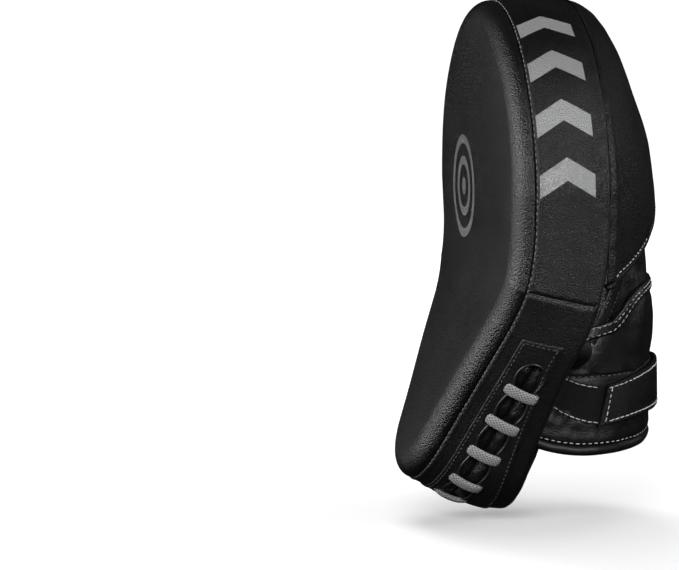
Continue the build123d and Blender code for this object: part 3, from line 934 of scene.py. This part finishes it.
def make_lace():
    """The braided lace as one flat cord through all its eyelets."""
    corners = lace_corners()
    knots = np.arange(len(corners))
    fine_knots = np.linspace(0, knots[-1], knots[-1] * 14 + 1)
    a, t, out, inside = (softened(np.interp(fine_knots, knots, column), 9, mode="edge")
                         for column in corners.T)
    out = out + facing_crown(a, t) - 1.4
    centre, outwards = rim_frame(a, out, t)
    deep = unit(rim(a, out, t + 1) - centre)
    ahead = unit(np.gradient(centre, axis=0))
    across = unit(unit(np.cross(outwards, deep)) * (1 - inside)[:, None] + deep * inside[:, None])
    across = square_to(across, ahead)
    run = run_of(centre)
    even = np.arange(0, run[-1], 0.28)
    centre, across, up = (np.stack([np.interp(even, run, column) for column in vectors.T], axis=1)
                          for vectors in (centre, across, np.cross(across, ahead)))
    section = oval(LACE_WIDTH, LACE_THICK, 36, 2.4)
    u, v = even[:, None] * BRAID_U, run_of(section)[None, :] * BRAID_V
    swell = 1 + 0.055 * np.maximum(np.sin(u + v), np.sin(u - v))[..., None]
    return carry("lace_cord", centre, unit(across), unit(up), section, run=even, swell=swell)


slit_edge, facing_edge = facing_outlines()
finish_piece(make_facing(), "lower", "lace_facing")
finish_piece(slit_piping(), "piping")
finish_piece(make_tongue(), "tongue", "lace_tongue", pad=0.7)
finish_piece(make_lace(), "lace", "lace")


# ---------------------------------------------------------------- the pad's back
def make_back():
    """The pad's rear skin: its rolled edge and its flat, under the hood and the glove."""
    along = even_steps(-HALF_ROUND, HALF_ROUND, 1.0)[:-1]
    x, s, nx, ns = edge(along)
    back = thickness(s)
    tuck = wrist_round(along, back)
    x, s = x - nx * tuck, s - ns * tuck
    roll = np.linspace(0, math.pi / 2, 9)
    insets = np.concatenate([[2.0, 0.9, 0.3], REAR_ROLL * (1 - np.cos(roll))])
    bulge = np.concatenate([[-0.5, 0.1, 0.5], 0.7 + (REAR_BULGE - 0.7) * np.sin(roll)])
    shares = np.array([0.12, 0.26, 0.42, 0.6, 0.8, 0.97])
    gx, gs = rings_inwards(x, s, nx, ns, insets, shares)
    gt = back[:, None] - REAR_BULGE * 0.6 + np.concatenate([bulge, bulge[-1] - 1.4 * smooth(shares, 0, 0.3)])
    inward = np.hypot(gx - x[:, None], gs - s[:, None])
    gt = gt - rear_ease(s)[:, None] * (1 - smooth(inward, 0, 30))
    swell = 0.3 * waves(np.stack([gx, gs, gt], axis=-1), 40, 51) * smooth(np.arange(gx.shape[1]), 3, 8)
    return shell("back_skin", bent(gx, gs, gt + swell)[:, ::-1], LEATHER, pairs(gx, gs)[:, ::-1], loop=True,
                 outward=(0, 1, 0))


finish_piece(make_back(), "lower", "back_panel", "back_board")

# ---------------------------------------------------------------- hood
hood_roots = np.linspace(0, HEM_DROP, 600)
hood_rises = softened(np.interp(hood_roots, HOOD_DROPS, HOOD_HEIGHTS), 20, mode="reflect", reflect_type="odd")


def hood_point(u, root):
    """A point of the hood: u runs -1..1 across it, root is the drop where its slice meets the pad."""
    half = np.interp(root, edge_s, edge_x) - 1.6
    shape = np.clip(1 - u ** 2, 0, 1) ** (0.86 - 0.12 * smooth(root, 20, 100))
    rise = np.interp(root, hood_roots, hood_rises) * shape
    depth, drop = THICKNESS + rise * np.cos(HEM_SLANT), root - rise * np.sin(HEM_SLANT)
    return np.stack([u * half, depth, drop], axis=-1)


def hood_grid():
    """Points and outward normals of the hood's skin, and their (u, root)."""
    root = np.concatenate([np.linspace(0.15, 4, 10)[:-1], np.linspace(4, HEM_DROP - 1.5, 120)])
    u = np.sin(np.linspace(-math.pi / 2, math.pi / 2, 181))
    u, root = np.meshgrid(u, root / root[-1], indexing="ij")
    from_pad = 1 - np.abs(u)
    hem_root = HEM_DROP - 1.0 - HEM_ARCH * smooth(from_pad, 0.15, 0.75)
    root = root * hem_root
    flat = hood_point(u, root)
    points = rows_of(flat)
    normal = grid_normals(points)
    normal = np.where(normal[..., 1:2] < 0, -normal, normal)
    swell = 0.55 * waves(flat, 60, 61) + 0.3 * waves(flat, 24, 62) * smooth(hem_root - root, 0, 8)
    pull = 0.14 * np.sin(root * 0.55 + 2.0 * waves(flat, 45, 63))
    pull = pull * np.exp(-from_pad / 0.03) * smooth(root, 8, 30)
    rest = 1.5 * bell(from_pad - 0.014, 0.016) * smooth(root, 2, 14)
    out = swell * smooth(from_pad, 0.0, 0.06) + pull + rest - bell(hem_root - 1.4 - root, 1.4)
    return points + normal * out[..., None], normal, u, root


hood_points, hood_normal, hood_u, hood_root = hood_grid()
hood_uv = np.stack([hood_u * HOOD_SPAN, hood_root], axis=-1)
hood_thick = HOOD_PAD * smooth(1 - np.abs(hood_u), 0, 0.12) * smooth(hood_root, 3, 45)
hood_thick = HOOD_SKIN + hood_thick * (1 - 0.5 * smooth(hood_root, HEM_DROP - 8, HEM_DROP))
finish_piece(shell("hood_panel", hood_points, hood_thick, hood_uv, hood_normal), "hood",
             "hood_shell", "hood_padding", pad=0.8)
lined = np.ix_(range(6, len(hood_u) - 6), np.nonzero(hood_root[0] > 12)[0])
lining_top = hood_points - hood_normal * (hood_thick + 0.02)[..., None]
finish_piece(shell("hood_inside", lining_top[lined], 0.8, hood_uv[lined], hood_normal[lined]), "lining",
             "hood_lining")


def binding(name, line, outward, width, height, fold, seed):
    """A rolled edge: soft leather tape turned over, with small puckers."""
    both, run = resample(np.concatenate([line, outward], axis=1), 0.9)
    centre, outward = both[:, :3], unit(both[:, 3:])
    section, turn = oval(width, height, 28, 2.3), np.linspace(0, 2 * math.pi, 28, endpoint=False)
    phase = np.cumsum(np.random.default_rng(seed).uniform(0.15, 0.55, len(run)))
    puckers = fold * np.sin(phase)[:, None] * (0.5 + 0.5 * np.cos(turn))[None, :]
    return carry(name, centre, *frames(centre, outward), section, run=run, girth=turn,
                 swell=1 + puckers[..., None] / max(width, height) * 2)


hem_down = unit(hood_points[:, -1] - hood_points[:, -3])
hem_line = (hood_points[:, -1] + hem_down * 0.3 - hood_normal[:, -1] * 1.5)[2:-2]
finish_piece(binding("hood_edge", hem_line, hood_normal[2:-2, -1], 3.2, 3.6, 0.12, 3), "hood", "hood_binding")

# ---------------------------------------------------------------- glove
quarter_turn = np.linspace(0, math.pi / 2, 60)
quarter_run = run_of(np.stack([ROUND_HALF * np.sin(quarter_turn), ROUND_BACK * np.cos(quarter_turn)], axis=1))
QUARTER = float(quarter_run[-1])


def wrap_point(v, half, back):
    """(x, depth) of a U round the hand; v is the travel from the middle of its back."""
    turn = np.interp(np.minimum(np.abs(v), QUARTER), quarter_run, quarter_turn)
    x = np.where(v < 0, -1.0, 1.0) * half * np.sin(turn)
    return x, GLOVE_CENTRE + (back - GLOVE_CENTRE) * np.cos(turn) - np.maximum(np.abs(v) - QUARTER, 0)


def glove_flat(v, drop):
    """(x, depth, drop) on the glove's outer skin."""
    half, back = (np.interp(drop, GLOVE_SECTIONS[:, 0], GLOVE_SECTIONS[:, i]) for i in (1, 2))
    return np.stack(np.broadcast_arrays(*wrap_point(v, half, back), drop), axis=-1)


def glove_edge(drop):
    """Travel round the hand at which the skin dives into the pad's back."""
    return QUARTER + GLOVE_CENTRE - rear_depth(drop) + 0.8 + 3.4 * smooth(drop, 150, 190)


def glove_seam(v):
    """Drop of the seam between the finger part and the back of the hand, at a travel."""
    return np.interp(wrap_point(v, 47.5, 88.5)[1], SEAM_DEPTHS, SEAM_DROPS)


def on_glove(v, drop, lift=0.0):
    """Points and outward normals on the glove's nominal skin."""
    v, drop = np.broadcast_arrays(np.asarray(v, float), np.asarray(drop, float))
    here = rows_of(glove_flat(v, drop))
    by_v = rows_of(glove_flat(v + 0.5, drop)) - rows_of(glove_flat(v - 0.5, drop))
    by_drop = rows_of(glove_flat(v, drop + 0.5)) - rows_of(glove_flat(v, drop - 0.5))
    normal = unit(np.cross(by_drop, by_v))
    outward = np.stack([here[..., 0], here[..., 1] - (FACE_Y + GLOVE_CENTRE) + 3, here[..., 2] * 0], axis=-1)
    normal = normal * np.where(np.sum(normal * outward, axis=-1, keepdims=True) < 0, -1, 1)
    return here + normal * lift, normal


def glove_panel(name, top, bottom, rise, look, *covers, thick=3.0):
    """One panel of the glove between two drops that may follow the hand round."""
    share = crowded(110, 1.4)
    columns = []
    for side in np.linspace(-1, 1, 260):
        v = side * (QUARTER + 2)
        for _ in range(3):                           # the travel to the pad's back hangs on the drop
            drops = top(v) + (bottom(v) - top(v)) * share
            reach = glove_edge(drops)
            v = side * float(np.mean(reach))
        columns.append(np.stack([side * reach, drops], axis=-1))
    uv = np.array(columns)
    v, flat = uv[..., 0], glove_flat(uv[..., 0], uv[..., 1])
    points = rows_of(flat)
    normal = grid_normals(points)
    outward = np.stack([flat[..., 0], (flat[..., 1] - GLOVE_CENTRE) * 1.2 + 4, flat[..., 2] * 0], axis=-1)
    normal = normal * np.where(np.sum(normal * outward, axis=-1, keepdims=True) < 0, -1, 1)
    points = points + normal * rise(flat, v, np.broadcast_to(share, v.shape))[..., None]
    finish_piece(shell(name, points, thick, uv, normal), look, *covers, pad=0.6)
    return points, normal, uv


def stall_rise(flat, v, share):
    """Finger part: padded channels between sewn lines down the back of the fingers."""
    channels = 0.9 * np.abs(np.sin(math.pi * (v + 14) / 28)) * smooth(60 - np.abs(v), 0, 12)
    lines = sum(bell(v - at, 1.3) for at in STALL_SEAMS)
    uneven = 0.5 * waves(flat, 26, 72) + 0.25 * waves(flat, 9, 73)
    return channels - lines - np.exp(-(1 - share) / 0.02) + uneven


def hand_rise(flat, v, share):
    """Back of the hand: puffed, with slack folds that run out of the seam and into the cuff."""
    puff = 0.6 * np.sin(math.pi * np.clip(share, 0, 1)) ** 0.6
    slanted = flat @ np.array([0.3, 0.15, 1.0])
    folds = 0.12 * (1 - np.abs(np.sin(slanted / 5.2 + 2.4 * waves(flat, 48, 75)))) ** 2
    upright = 0.75 * waves(np.stack([v, v * 0, flat[..., 2] * 0.25], axis=-1), 20, 76)
    pull = 0.5 * np.sin(v / 2.1 + waves(flat, 20, 77) * 2)
    pull = pull * (np.exp(-share / 0.09) + np.exp(-(1 - share) / 0.09))
    return puff - folds * 0.8 + upright * np.sin(math.pi * share) + pull * 0.7


def strip(name, line, normals, width, thick, swell=0.35, seed=5):
    """A sewn tape lying along a line on a surface."""
    both, run = resample(np.concatenate([line, normals], axis=1), 0.8)
    centre = both[:, :3]
    side, up = frames(centre, unit(both[:, 3:]))
    w = np.linspace(-0.5, 0.5, 17)
    hump = swell * (1 - (2 * np.abs(w)) ** 3) - 0.5 * bell(np.abs(w) - 0.5, 0.07)
    points = centre[:, None] + side[:, None] * (w * width)[:, None] + up[:, None] * hump[:, None]
    points += up[:, None] * (0.18 * waves(points, 9, seed))[..., None]
    return shell(name, points, thick, pairs(run[:, None], w * width),
                 np.broadcast_to(up[:, None], points.shape))


def make_mesh(name, side):
    """Coarse knitted side panel between the finger part and the pad."""
    drops = np.linspace(143, 170, 60)
    low = np.interp(drops, (143, 158, 171), (QUARTER - 11.5, QUARTER - 9, QUARTER - 3.2))
    v = side * (low[:, None] + (glove_edge(drops) - low)[:, None] * np.linspace(0, 1, 24))
    points, normal = on_glove(v, drops[:, None])
    points = points + normal * (0.9 + 0.3 * waves(points, 12, 81))[..., None]
    return shell(name, points, 1.4, pairs(v, drops[:, None]), normal)


def side_tab(where, side):
    """Tape sewn over the inner edge of the side mesh."""
    depths, drops = np.array(SIDE_TAB).T
    run_v = np.linspace(0, QUARTER + 20, 400)
    v = side * np.interp(-depths, -wrap_point(run_v, 47.5, 87.5)[1], run_v)
    finish_piece(strip("side_tab_" + where, *on_glove(v, drops, 0.9), SIDE_TAB_WIDTH, 2.0, 0.4, 88), "cuff")
    for number, (offset, look) in enumerate(((1.3, "white"), (-2.7, "dim"))):
        line, normals = on_glove(v + side * offset, drops, 1.25)
        sew("side_tab_stitches_%s_%d" % (where, number), line[:-1], normals[:-1], look, pitch=2.4, length=2.2,
            radius=0.24, seed=95 + number)


glove_panel("finger_stall_skin", lambda v: STALL_TOP, lambda v: glove_seam(v) - 0.2, stall_rise, "glove",
            "finger_stall")
glove_panel("hand_skin", lambda v: glove_seam(v) + 0.2, lambda v: CUFF_JOIN, hand_rise, "glove",
            "hand_back_panel", "glove_lining")
seam_v = np.linspace(-QUARTER - 3, QUARTER + 3, 240)
finish_piece(strip("seam_tape", *on_glove(seam_v, glove_seam(seam_v), 1.8), SEAM_TAPE_WIDTH, 2.6), "glove",
             "seam_band")
for number, side in enumerate((-1, 1)):
    offset = side * (0.95 + 0.95 * smooth(np.abs(seam_v), 30, 62))
    sew("seam_stitches_%d" % number, *on_glove(seam_v, glove_seam(seam_v) + offset, 2.25), seed=90 + number)
for side, where in ((1, "thumb"), (-1, "little_finger")):
    finish_piece(make_mesh("side_mesh_" + where, side), "mesh", "mesh_panels")
    side_tab(where, side)
for number, at in enumerate(STALL_SEAMS):
    sew("stall_stitches_%d" % number, *on_glove(at, np.linspace(100, 143, 60), -0.1), seed=110 + number)


# ---------------------------------------------------------------- wrist cuff
def cuff_rim(v):
    """Drop of the cuff's lower rim: lowest beside the wrist, higher at the back and at the pad."""
    share = np.abs(v) / (QUARTER + 8)
    behind = np.clip((LOW_SHARE - share) / LOW_SHARE, 0, 1)
    before = np.clip((share - LOW_SHARE) / 0.25, 0, 2)
    return CUFF_LOW - 6.6 * behind ** 2 - 2.9 * before ** 2


def cuff_rise(flat, v, share):
    """Lightly padded and wrinkled, drawn in where it is sewn to the binding and the glove."""
    puff = 1.1 * np.sin(math.pi * np.clip(share, 0, 1)) ** 0.5 - 0.6
    folds = 0.55 * waves(np.stack([v, v * 0, flat[..., 2] * 0.45], axis=-1), 15, 85)
    folds = folds + 0.25 * waves(flat, 7, 86)
    pressed = 0.35 * smooth(share, 0.15, 0.3) * (1 - smooth(share, 0.75, 0.9))
    return (puff + folds * np.sin(math.pi * np.clip(share, 0.08, 0.92)) - 0.8 * bell(1 - share, 0.045)
            - 0.9 * bell(share, 0.04) - pressed)


cuff_points, cuff_normal, cuff_uv = glove_panel(
    "cuff_skin", lambda v: CUFF_JOIN, lambda v: cuff_rim(v) - CUFF_EDGE_RISE, cuff_rise, "cuff", "wrist_cuff",
    thick=3.4)
finish_piece(shell("cuff_inside", cuff_points - cuff_normal * 3.5, 1.0, cuff_uv, cuff_normal), "lining",
             "cuff_lining")
rim_line = cuff_points[:, -1] + (0, 0, -1.6) - cuff_normal[:, -1] * 1.6
finish_piece(binding("cuff_edge", rim_line, cuff_normal[:, -1], 5.6, 6.2, 0.2, 8), "binding", "cuff_binding")


# ---------------------------------------------------------------- thumb pouch and palm grip
def make_pouch():
    """Padded thumb pouch: a raised panel on the glove's thumb side."""
    drops = np.linspace(156, 192, 90)
    start = QUARTER - 22
    v = start + (glove_edge(drops)[:, None] - start) * np.linspace(0, 1, 90)
    drop = np.broadcast_to(drops[:, None], v.shape)
    depth = GLOVE_CENTRE + QUARTER - v
    reach = np.hypot((depth - POUCH_CENTRE[0]) / POUCH_HALF[0], (drop - POUCH_CENTRE[1]) / POUCH_HALF[1])
    lift = 6.6 * (1 - np.clip(reach, 0, 1) ** 2) ** 1.2 - 2.2
    lift += 0.4 * waves(np.stack([depth, drop, drop * 0], axis=-1), 16, 101) * (reach < 1)
    points, normal = on_glove(v, drop)
    return shell("thumb_pouch_skin", points + normal * lift[..., None], 1.2, pairs(v, drop), normal)


def make_grip():
    """A stuffed lump that the palm closes on, cut off at the pad's back."""
    polar, turn = np.meshgrid(np.linspace(0.02, math.pi - 0.02, 60), np.linspace(0, 2 * math.pi, 121)[:-1],
                              indexing="ij")
    out = np.stack([np.sin(polar) * np.cos(turn), np.sin(polar) * np.sin(turn), np.cos(polar)], axis=-1)
    flat = GRIP_CENTRE + out * GRIP_RADII
    flat = flat + out * (0.25 * waves(flat, 14, 102))[..., None]
    flat[..., 1] = np.maximum(flat[..., 1], rear_depth(flat[..., 2]) + 0.3)
    return ring_solid("palm_ball", rows_of(flat), np.stack([turn, polar], axis=-1) * 15)


finish_piece(make_pouch(), "glove", "thumb_pouch", pad=0.6)
finish_piece(make_grip(), "suede", "palm_grip", pad=0.7)


# ---------------------------------------------------------------- wrist strap
def wrist_point(v):
    return wrap_point(v, STRAP_HALF, STRAP_BACK)


def strap_middle(v):
    """Drop of the strap's centre line at a travel round the wrist."""
    return STRAP_DROP + (STRAP_BACK - wrist_point(v)[1]) * math.tan(STRAP_TILT)


def loop_middle(v):
    """The loop tape follows the cuff, so it rises again towards the pad."""
    depth = wrist_point(v)[1]
    along_cuff = 202.6 - (58 - depth) * 0.12 - 0.013 * np.clip(50 - depth, 0, None) ** 2
    return np.minimum(strap_middle(v), along_cuff)


def travel(x=None, depth=None):
    """Positive travel at which the wrist section reaches an x or a depth."""
    v = np.linspace(0, QUARTER + 40, 4000)
    px, pd = wrist_point(v)
    rising = px < px.max()
    return float(np.interp(x, px[rising], v[rising]) if x is not None else np.interp(-depth, -pd, v))


def on_wrist(v, drop, height):
    """Points and normals at a height over the cuff, by travel round the wrist and drop."""
    v, drop, height = np.broadcast_arrays(*(np.asarray(values, float) for values in (v, drop, height)))
    (x, depth), (next_x, next_depth) = wrist_point(v), wrist_point(v + 0.4)
    run = unit(np.stack([next_x - x, next_depth - depth, x * 0], axis=-1))
    normal = np.stack([-run[..., 1], run[..., 0], x * 0], axis=-1)
    inward = normal[..., 0] * x + normal[..., 1] * (depth - GLOVE_CENTRE + 3) < 0
    normal = normal * np.where(inward, -1.0, 1.0)[..., None]
    return rows_of(np.stack([x, depth, drop], axis=-1) + normal * height[..., None]), normal


ROOT, TIP, PEEL = -travel(depth=60.2), travel(depth=52.6), travel(x=20.0)
STRAP_MEET = -6.0                 # travel at which the two lengths of strap meet
LOOP_END = QUARTER + GLOVE_CENTRE - LOOP_DEPTH


def strap_drop(v, w, middle=strap_middle):
    """Drop of a place so far across the strap, which narrows towards its free end."""
    return middle(v) + w * (1 - STRAP_NARROWS * smooth(v, 10, TIP)) / math.cos(STRAP_TILT)


def strap_piece(name, start, end, low, high, width=STRAP_WIDTH, seed=121, soften=1.0, ends=(1, 1),
                middle=strap_middle):
    """A length of strap or tape with rounded edges, between two travels round the wrist."""
    along = np.linspace(start, end, max(int(abs(end - start) / 0.7), 12))
    angle = np.linspace(0, 2 * math.pi, 44, endpoint=False)
    half, thick, mid = width / 2, high - low, (low + high) / 2
    squeeze = 0.45 * np.ones_like(along)
    for distance, rounded in ((along - start, ends[0]), (end - along, ends[1])):
        squeeze = squeeze * (np.sqrt(1 - (1 - np.clip(distance / 1.4, 0, 1)) ** 2) if rounded else 1.0)
    squeeze = (0.55 + squeeze)[:, None]
    w = half * power_of(np.cos(angle), 0.24) * (1 - 0.03 * (1 - squeeze))
    h = mid + thick / 2 * power_of(np.sin(angle), 0.35) * squeeze
    v = np.broadcast_to(along[:, None], w.shape)
    place = np.stack([v, w, h], axis=-1)
    puffed = 0.28 * waves(place, 18, seed) * soften + 0.12 * waves(place, 6, seed + 1)
    h = h + np.clip((h - low) / thick, 0, 1) * (puffed - 0.32 * bell(np.abs(w) - (half - 2.4), 0.9))
    drop = strap_drop(v, w, middle)
    if middle is strap_middle:
        v = v + END_SLANT * w * smooth(v, TIP - 16, TIP)
    return ring_solid(name, on_wrist(v, drop, h)[0], pairs(v, w), smooth_angle=60)


def fold(first, second, at, before, after):
    start, end = (on_wrist(at + away, strap_middle(at), 3.0)[0] * MM for away in (-before, after))
    return first, second, tuple(start), tuple(end)


root_fold = fold("mitt", "wrist_strap", ROOT, 2.5, 4.0)
tip_fold = fold("wrist_strap", "strap_tip", PEEL, 4.0, 4.5)
root_start = travel(depth=48.0)
finish_piece(strap_piece("strap_root", -root_start, STRAP_MEET, STRAP_LOW, STRAP_HIGH, ends=(1, 0)),
             "strap", "strap_anchor", body=root_fold)
finish_piece(strap_piece("strap_end", STRAP_MEET, TIP, STRAP_LOW + 0.1, STRAP_HIGH, ends=(0, 1)),
             "strap", "strap_band", "strap_tip", body=tip_fold)
hook_tape = strap_piece("hook_tape", PEEL + 3.5, TIP - 3.0, STRAP_LOW - 0.75, STRAP_LOW + 0.2, HOOK_WIDTH, 131,
                        soften=0.4)
finish_piece(hook_tape, "hook", "hook_patch", body="strap_tip")
finish_piece(strap_piece("loop_tape", 3.0, LOOP_END, -0.2, 1.15, LOOP_WIDTH, 133, 0.4, middle=loop_middle),
             "loop", "loop_patch")


def strap_stitches(name, v, w, body, seed, height=STRAP_HIGH + 0.02, middle=strap_middle):
    """Stitches on the strap along a list of (travel, width) places."""
    v, w = np.broadcast_arrays(v, w)
    line, normals = on_wrist(v, strap_drop(v, w, middle), height)
    sew(name, line, normals, "white", body, length=2.85, radius=0.28, seed=seed)


SEW = STRAP_WIDTH / 2 - 2.4
for number, side in enumerate((-1, 1)):
    strap_stitches("strap_root_stitches_%d" % number, np.linspace(-travel(depth=49.0), -7.0, 90), side * SEW,
                   root_fold, 141 + number)
    strap_stitches("strap_end_stitches_%d" % number, np.linspace(STRAP_MEET, TIP - 2.6, 110), side * SEW,
                   tip_fold, 151 + number)
across_w = np.linspace(-SEW, SEW, 30)
strap_stitches("strap_tip_stitches", TIP - 2.6 + END_SLANT * across_w, across_w, tip_fold, 161)
strap_stitches("strap_anchor_stitches", -travel(depth=50.0), across_w, root_fold, 162)
for number, side in enumerate((-1, 1)):
    strap_stitches("loop_stitches_%d" % number, np.linspace(TIP + 1.5, LOOP_END - 1, 50),
                   side * (LOOP_WIDTH / 2 - 1.3), "mitt", 171 + number, 1.25, loop_middle)

# ---------------------------------------------------------------- seams
around = np.linspace(-HALF_ROUND + 0.5, HALF_ROUND - 0.5, 1400)
depth = np.full_like(around, SEAM_DEPTH + 0.9)
sew("front_seam_thread", *rim_frame(around, band_out(around, depth) + 0.1, depth), "grey", seed=201,
    length=2.1, radius=0.27)
for number, side in enumerate((-1, 1)):
    depth = np.linspace(SEAM_DEPTH + 1.5, THICKNESS - 2, 60)
    along = np.full(60, side * (KINK_RUN - 1.1))
    sew("kink_thread_%d" % number, *rim_frame(along, band_out(along, depth) + 0.12, depth), "dim", pitch=2.4,
        seed=211 + number, length=1.6, radius=0.28)


def facing_row(inset):
    """A closed line of (along, depth) inside the sewn edge of the facing."""
    loop = np.concatenate([facing_edge, facing_edge[:1]])
    run = unit(np.gradient(loop, axis=0))
    inwards = np.stack([-run[:, 1], run[:, 0]], axis=1)
    away = np.sum(inwards * ((0.0, SLIT_DEPTH) - loop) * [0.08, 1.0], axis=1, keepdims=True) < 0
    return resample(loop + inwards * np.where(away, -1, 1) * inset, 1.0)[0].T


along, depth = facing_row(1.7)
sew("facing_stitches", *rim_frame(along, facing_crown(along, depth) + 1.03, depth), "dim", pitch=2.7,
    length=1.8, radius=0.24, seed=221)
hem_row, hem_normal, hem_u = hood_points[6:-6, -4], hood_normal[6:-6, -4], hood_u[6:-6, -4]
for place, chosen, look in (("thumb", hem_u > 0.66, "white"), ("middle", np.abs(hem_u) < 0.64, "dim"),
                            ("little_finger", hem_u < -0.66, "white")):
    sew("hem_stitches_" + place, (hem_row + hem_normal * 0.15)[chosen], hem_normal[chosen], look, seed=231)
for number, (column, look) in enumerate(((-12, "white"), (9, "black"))):
    line = cuff_points[:, column] + cuff_normal[:, column] * 0.1
    sew("cuff_stitches_%d" % number, line, cuff_normal[:, column], look, seed=241 + number)

# ---------------------------------------------------------------- camera
AZIMUTH, ELEVATION, CAMERA_ROLL = math.radians(77.4), math.radians(5.1), -0.0155
DISTANCE = 1.4
FOCAL, SENSOR, FRAME_WIDTH = 2741.0, 36.0, 679.0                # the focal length and width in pixels
AIM = Vector((0.0, -0.031, 0.0895))
OFF_CENTRE = (175.0, 20.2)                       # how far the mitt sits right of and above the middle


def link(name, data):
    obj = bpy.data.objects.new(name, data)
    bpy.context.scene.collection.objects.link(obj)
    return obj


def make_camera():
    """The camera, and which way it sees as right and as back."""
    back = Vector((math.sin(AZIMUTH) * math.cos(ELEVATION), -math.cos(AZIMUTH) * math.cos(ELEVATION),
                   math.sin(ELEVATION)))
    right = Vector((math.cos(AZIMUTH), math.sin(AZIMUTH), 0))
    roll = Matrix.Rotation(CAMERA_ROLL, 3, back)
    right, up = roll @ right, roll @ back.cross(right)
    yaw = Matrix.Rotation(math.atan2(OFF_CENTRE[0], FOCAL), 3, up)
    right, turned = yaw @ right, yaw @ back
    pitch = Matrix.Rotation(-math.atan2(OFF_CENTRE[1], math.hypot(FOCAL, OFF_CENTRE[0])), 3, right)
    camera = bpy.data.cameras.new("camera")
    camera.lens = FOCAL / FRAME_WIDTH * SENSOR
    camera.sensor_width = SENSOR
    camera.clip_start, camera.clip_end = 0.05, 60
    obj = link("camera", camera)
    place = Matrix((right, pitch @ up, pitch @ turned)).transposed().to_4x4()
    place.translation = AIM + back * DISTANCE
    obj.matrix_world = place
    bpy.context.scene.camera = obj
    return right, back


view_right, view_back = make_camera()
bpy.context.scene.view_settings.view_transform = "Standard"
view_ahead = Vector((-view_back.x, -view_back.y, 0)).normalized()
view_side = Vector((view_right.x, view_right.y, 0)).normalized()


# ---------------------------------------------------------------- stage and light
def make_stage():
    """White floor that sweeps up all round, far outside the camera's circle; it glows with painted light that
    grows away from the mitt and is least under it.
    """
    flat_radius, bend, height, turns = 5.0, 2.0, 4.0, 96
    angle = np.linspace(0, math.pi / 2, 20)
    out = np.concatenate([[0.3, 1.5], flat_radius + bend * np.sin(angle), [flat_radius + bend]])
    up = np.concatenate([[0, 0], bend * (1 - np.cos(angle)), [height]])
    turn = np.linspace(0, 2 * math.pi, turns, endpoint=False)
    vertices = [(0, 0, FLOOR_Z)] + [(o * math.cos(t), o * math.sin(t), FLOOR_Z + z)
                                    for o, z in zip(out, up) for t in turn]
    faces = [(0, 1 + i, 1 + (i + 1) % turns) for i in range(turns)]
    for ring in range(len(out) - 1):
        low, high = 1 + ring * turns, 1 + (ring + 1) * turns
        faces += [(low + i, high + i, high + (i + 1) % turns, low + (i + 1) % turns) for i in range(turns)]
    mesh = bpy.data.meshes.new("sweep")
    mesh.from_pydata(vertices, [], faces)
    mesh.shade_smooth()
    obj = link("sweep", mesh)
    made, graph = material("paper")
    grain = graph.noise(graph.place(), 6.0)
    away = graph.add("VectorMath", operation="LENGTH")
    graph.fill(away.inputs[0], graph.place())
    # painted light: the paper glows though it is no lamp, from 0.34 near the mitt to 1.1 far from it
    glow = graph.level(away.outputs["Value"], From_Min=0.25, From_Max=1.4, To_Min=0.34, To_Max=1.1)
    graph.shade(Base_Color=graph.ramp(grain, (0.0, 0.78), (1.0, 0.82)), Roughness=0.8, Specular_IOR_Level=0.0,
                Emission_Color=(1, 1, 1, 1), Emission_Strength=glow)
    # clear from outside, so that it can also be looked at through its wall and from below
    graph.blend_shaders(graph.add("NewGeometry").outputs["Backfacing"],
                        graph.nodes["Principled BSDF"].outputs["BSDF"],
                        graph.add("BsdfTransparent").outputs["BSDF"], "Material Output")
    mesh.materials.append(made)
    obj.visible_glossy = False
    obj.visible_diffuse = False


def area_light(name, ahead, side, height, size, power, aim=(0, 0, 0.1), sheen=True, fill=True):
    """A soft box; sheen is whether leather mirrors it, fill whether it lights paper and thread."""
    light = bpy.data.lights.new(name, "AREA")
    light.shape = "RECTANGLE"
    light.size, light.size_y = size
    light.energy = power
    obj = link(name, light)
    spot = view_ahead * ahead + view_side * side
    obj.location = (spot.x, spot.y, FLOOR_Z + height)
    obj.rotation_euler = (Vector(aim) - obj.location).to_track_quat("-Z", "Y").to_euler()
    obj.visible_camera = False
    obj.visible_glossy = sheen
    obj.visible_diffuse = fill


def make_world():
    """A dim room for reflections and fill, white where it is looked at."""
    world = bpy.data.worlds.new("room")
    world.use_nodes = True
    graph = Graph(world.node_tree)
    dim = graph.nodes["Background"]
    dim.inputs["Color"].default_value = (1, 1, 1, 1)
    dim.inputs["Strength"].default_value = 0.012
    white = graph.add("Background", Color=(1, 1, 1, 1))
    graph.blend_shaders(graph.add("LightPath").outputs["Is Camera Ray"], dim.outputs["Background"],
                        white.outputs["Background"], "World Output")
    bpy.context.scene.world = world


make_stage()
area_light("overhead", 0.15, 0.0, 1.6, (1.8, 1.2), 12, sheen=False)
area_light("camera_side", -1.30, -0.35, 0.75, (0.9, 0.7), 13, sheen=False)
area_light("right_fill", -0.35, 1.25, 0.65, (0.8, 0.7), 8, sheen=False)
area_light("left_strip", 0.25, -1.00, 0.30, (0.30, 0.8), 4.0, aim=(0, -0.05, 0.12), fill=False)
area_light("left_soft", -0.36, -1.00, 0.28, (0.9, 0.7), 21.0, aim=(0, -0.05, 0.10), fill=False)
area_light("right_strip", 0.20, 1.15, 0.50, (0.20, 0.7), 2.4, fill=False)
area_light("front_right", -1.30, 0.60, 0.40, (0.45, 0.25), 22, fill=False)
area_light("rear_top", 1.00, -0.40, 1.35, (0.9, 0.9), 11, sheen=False)
make_world()
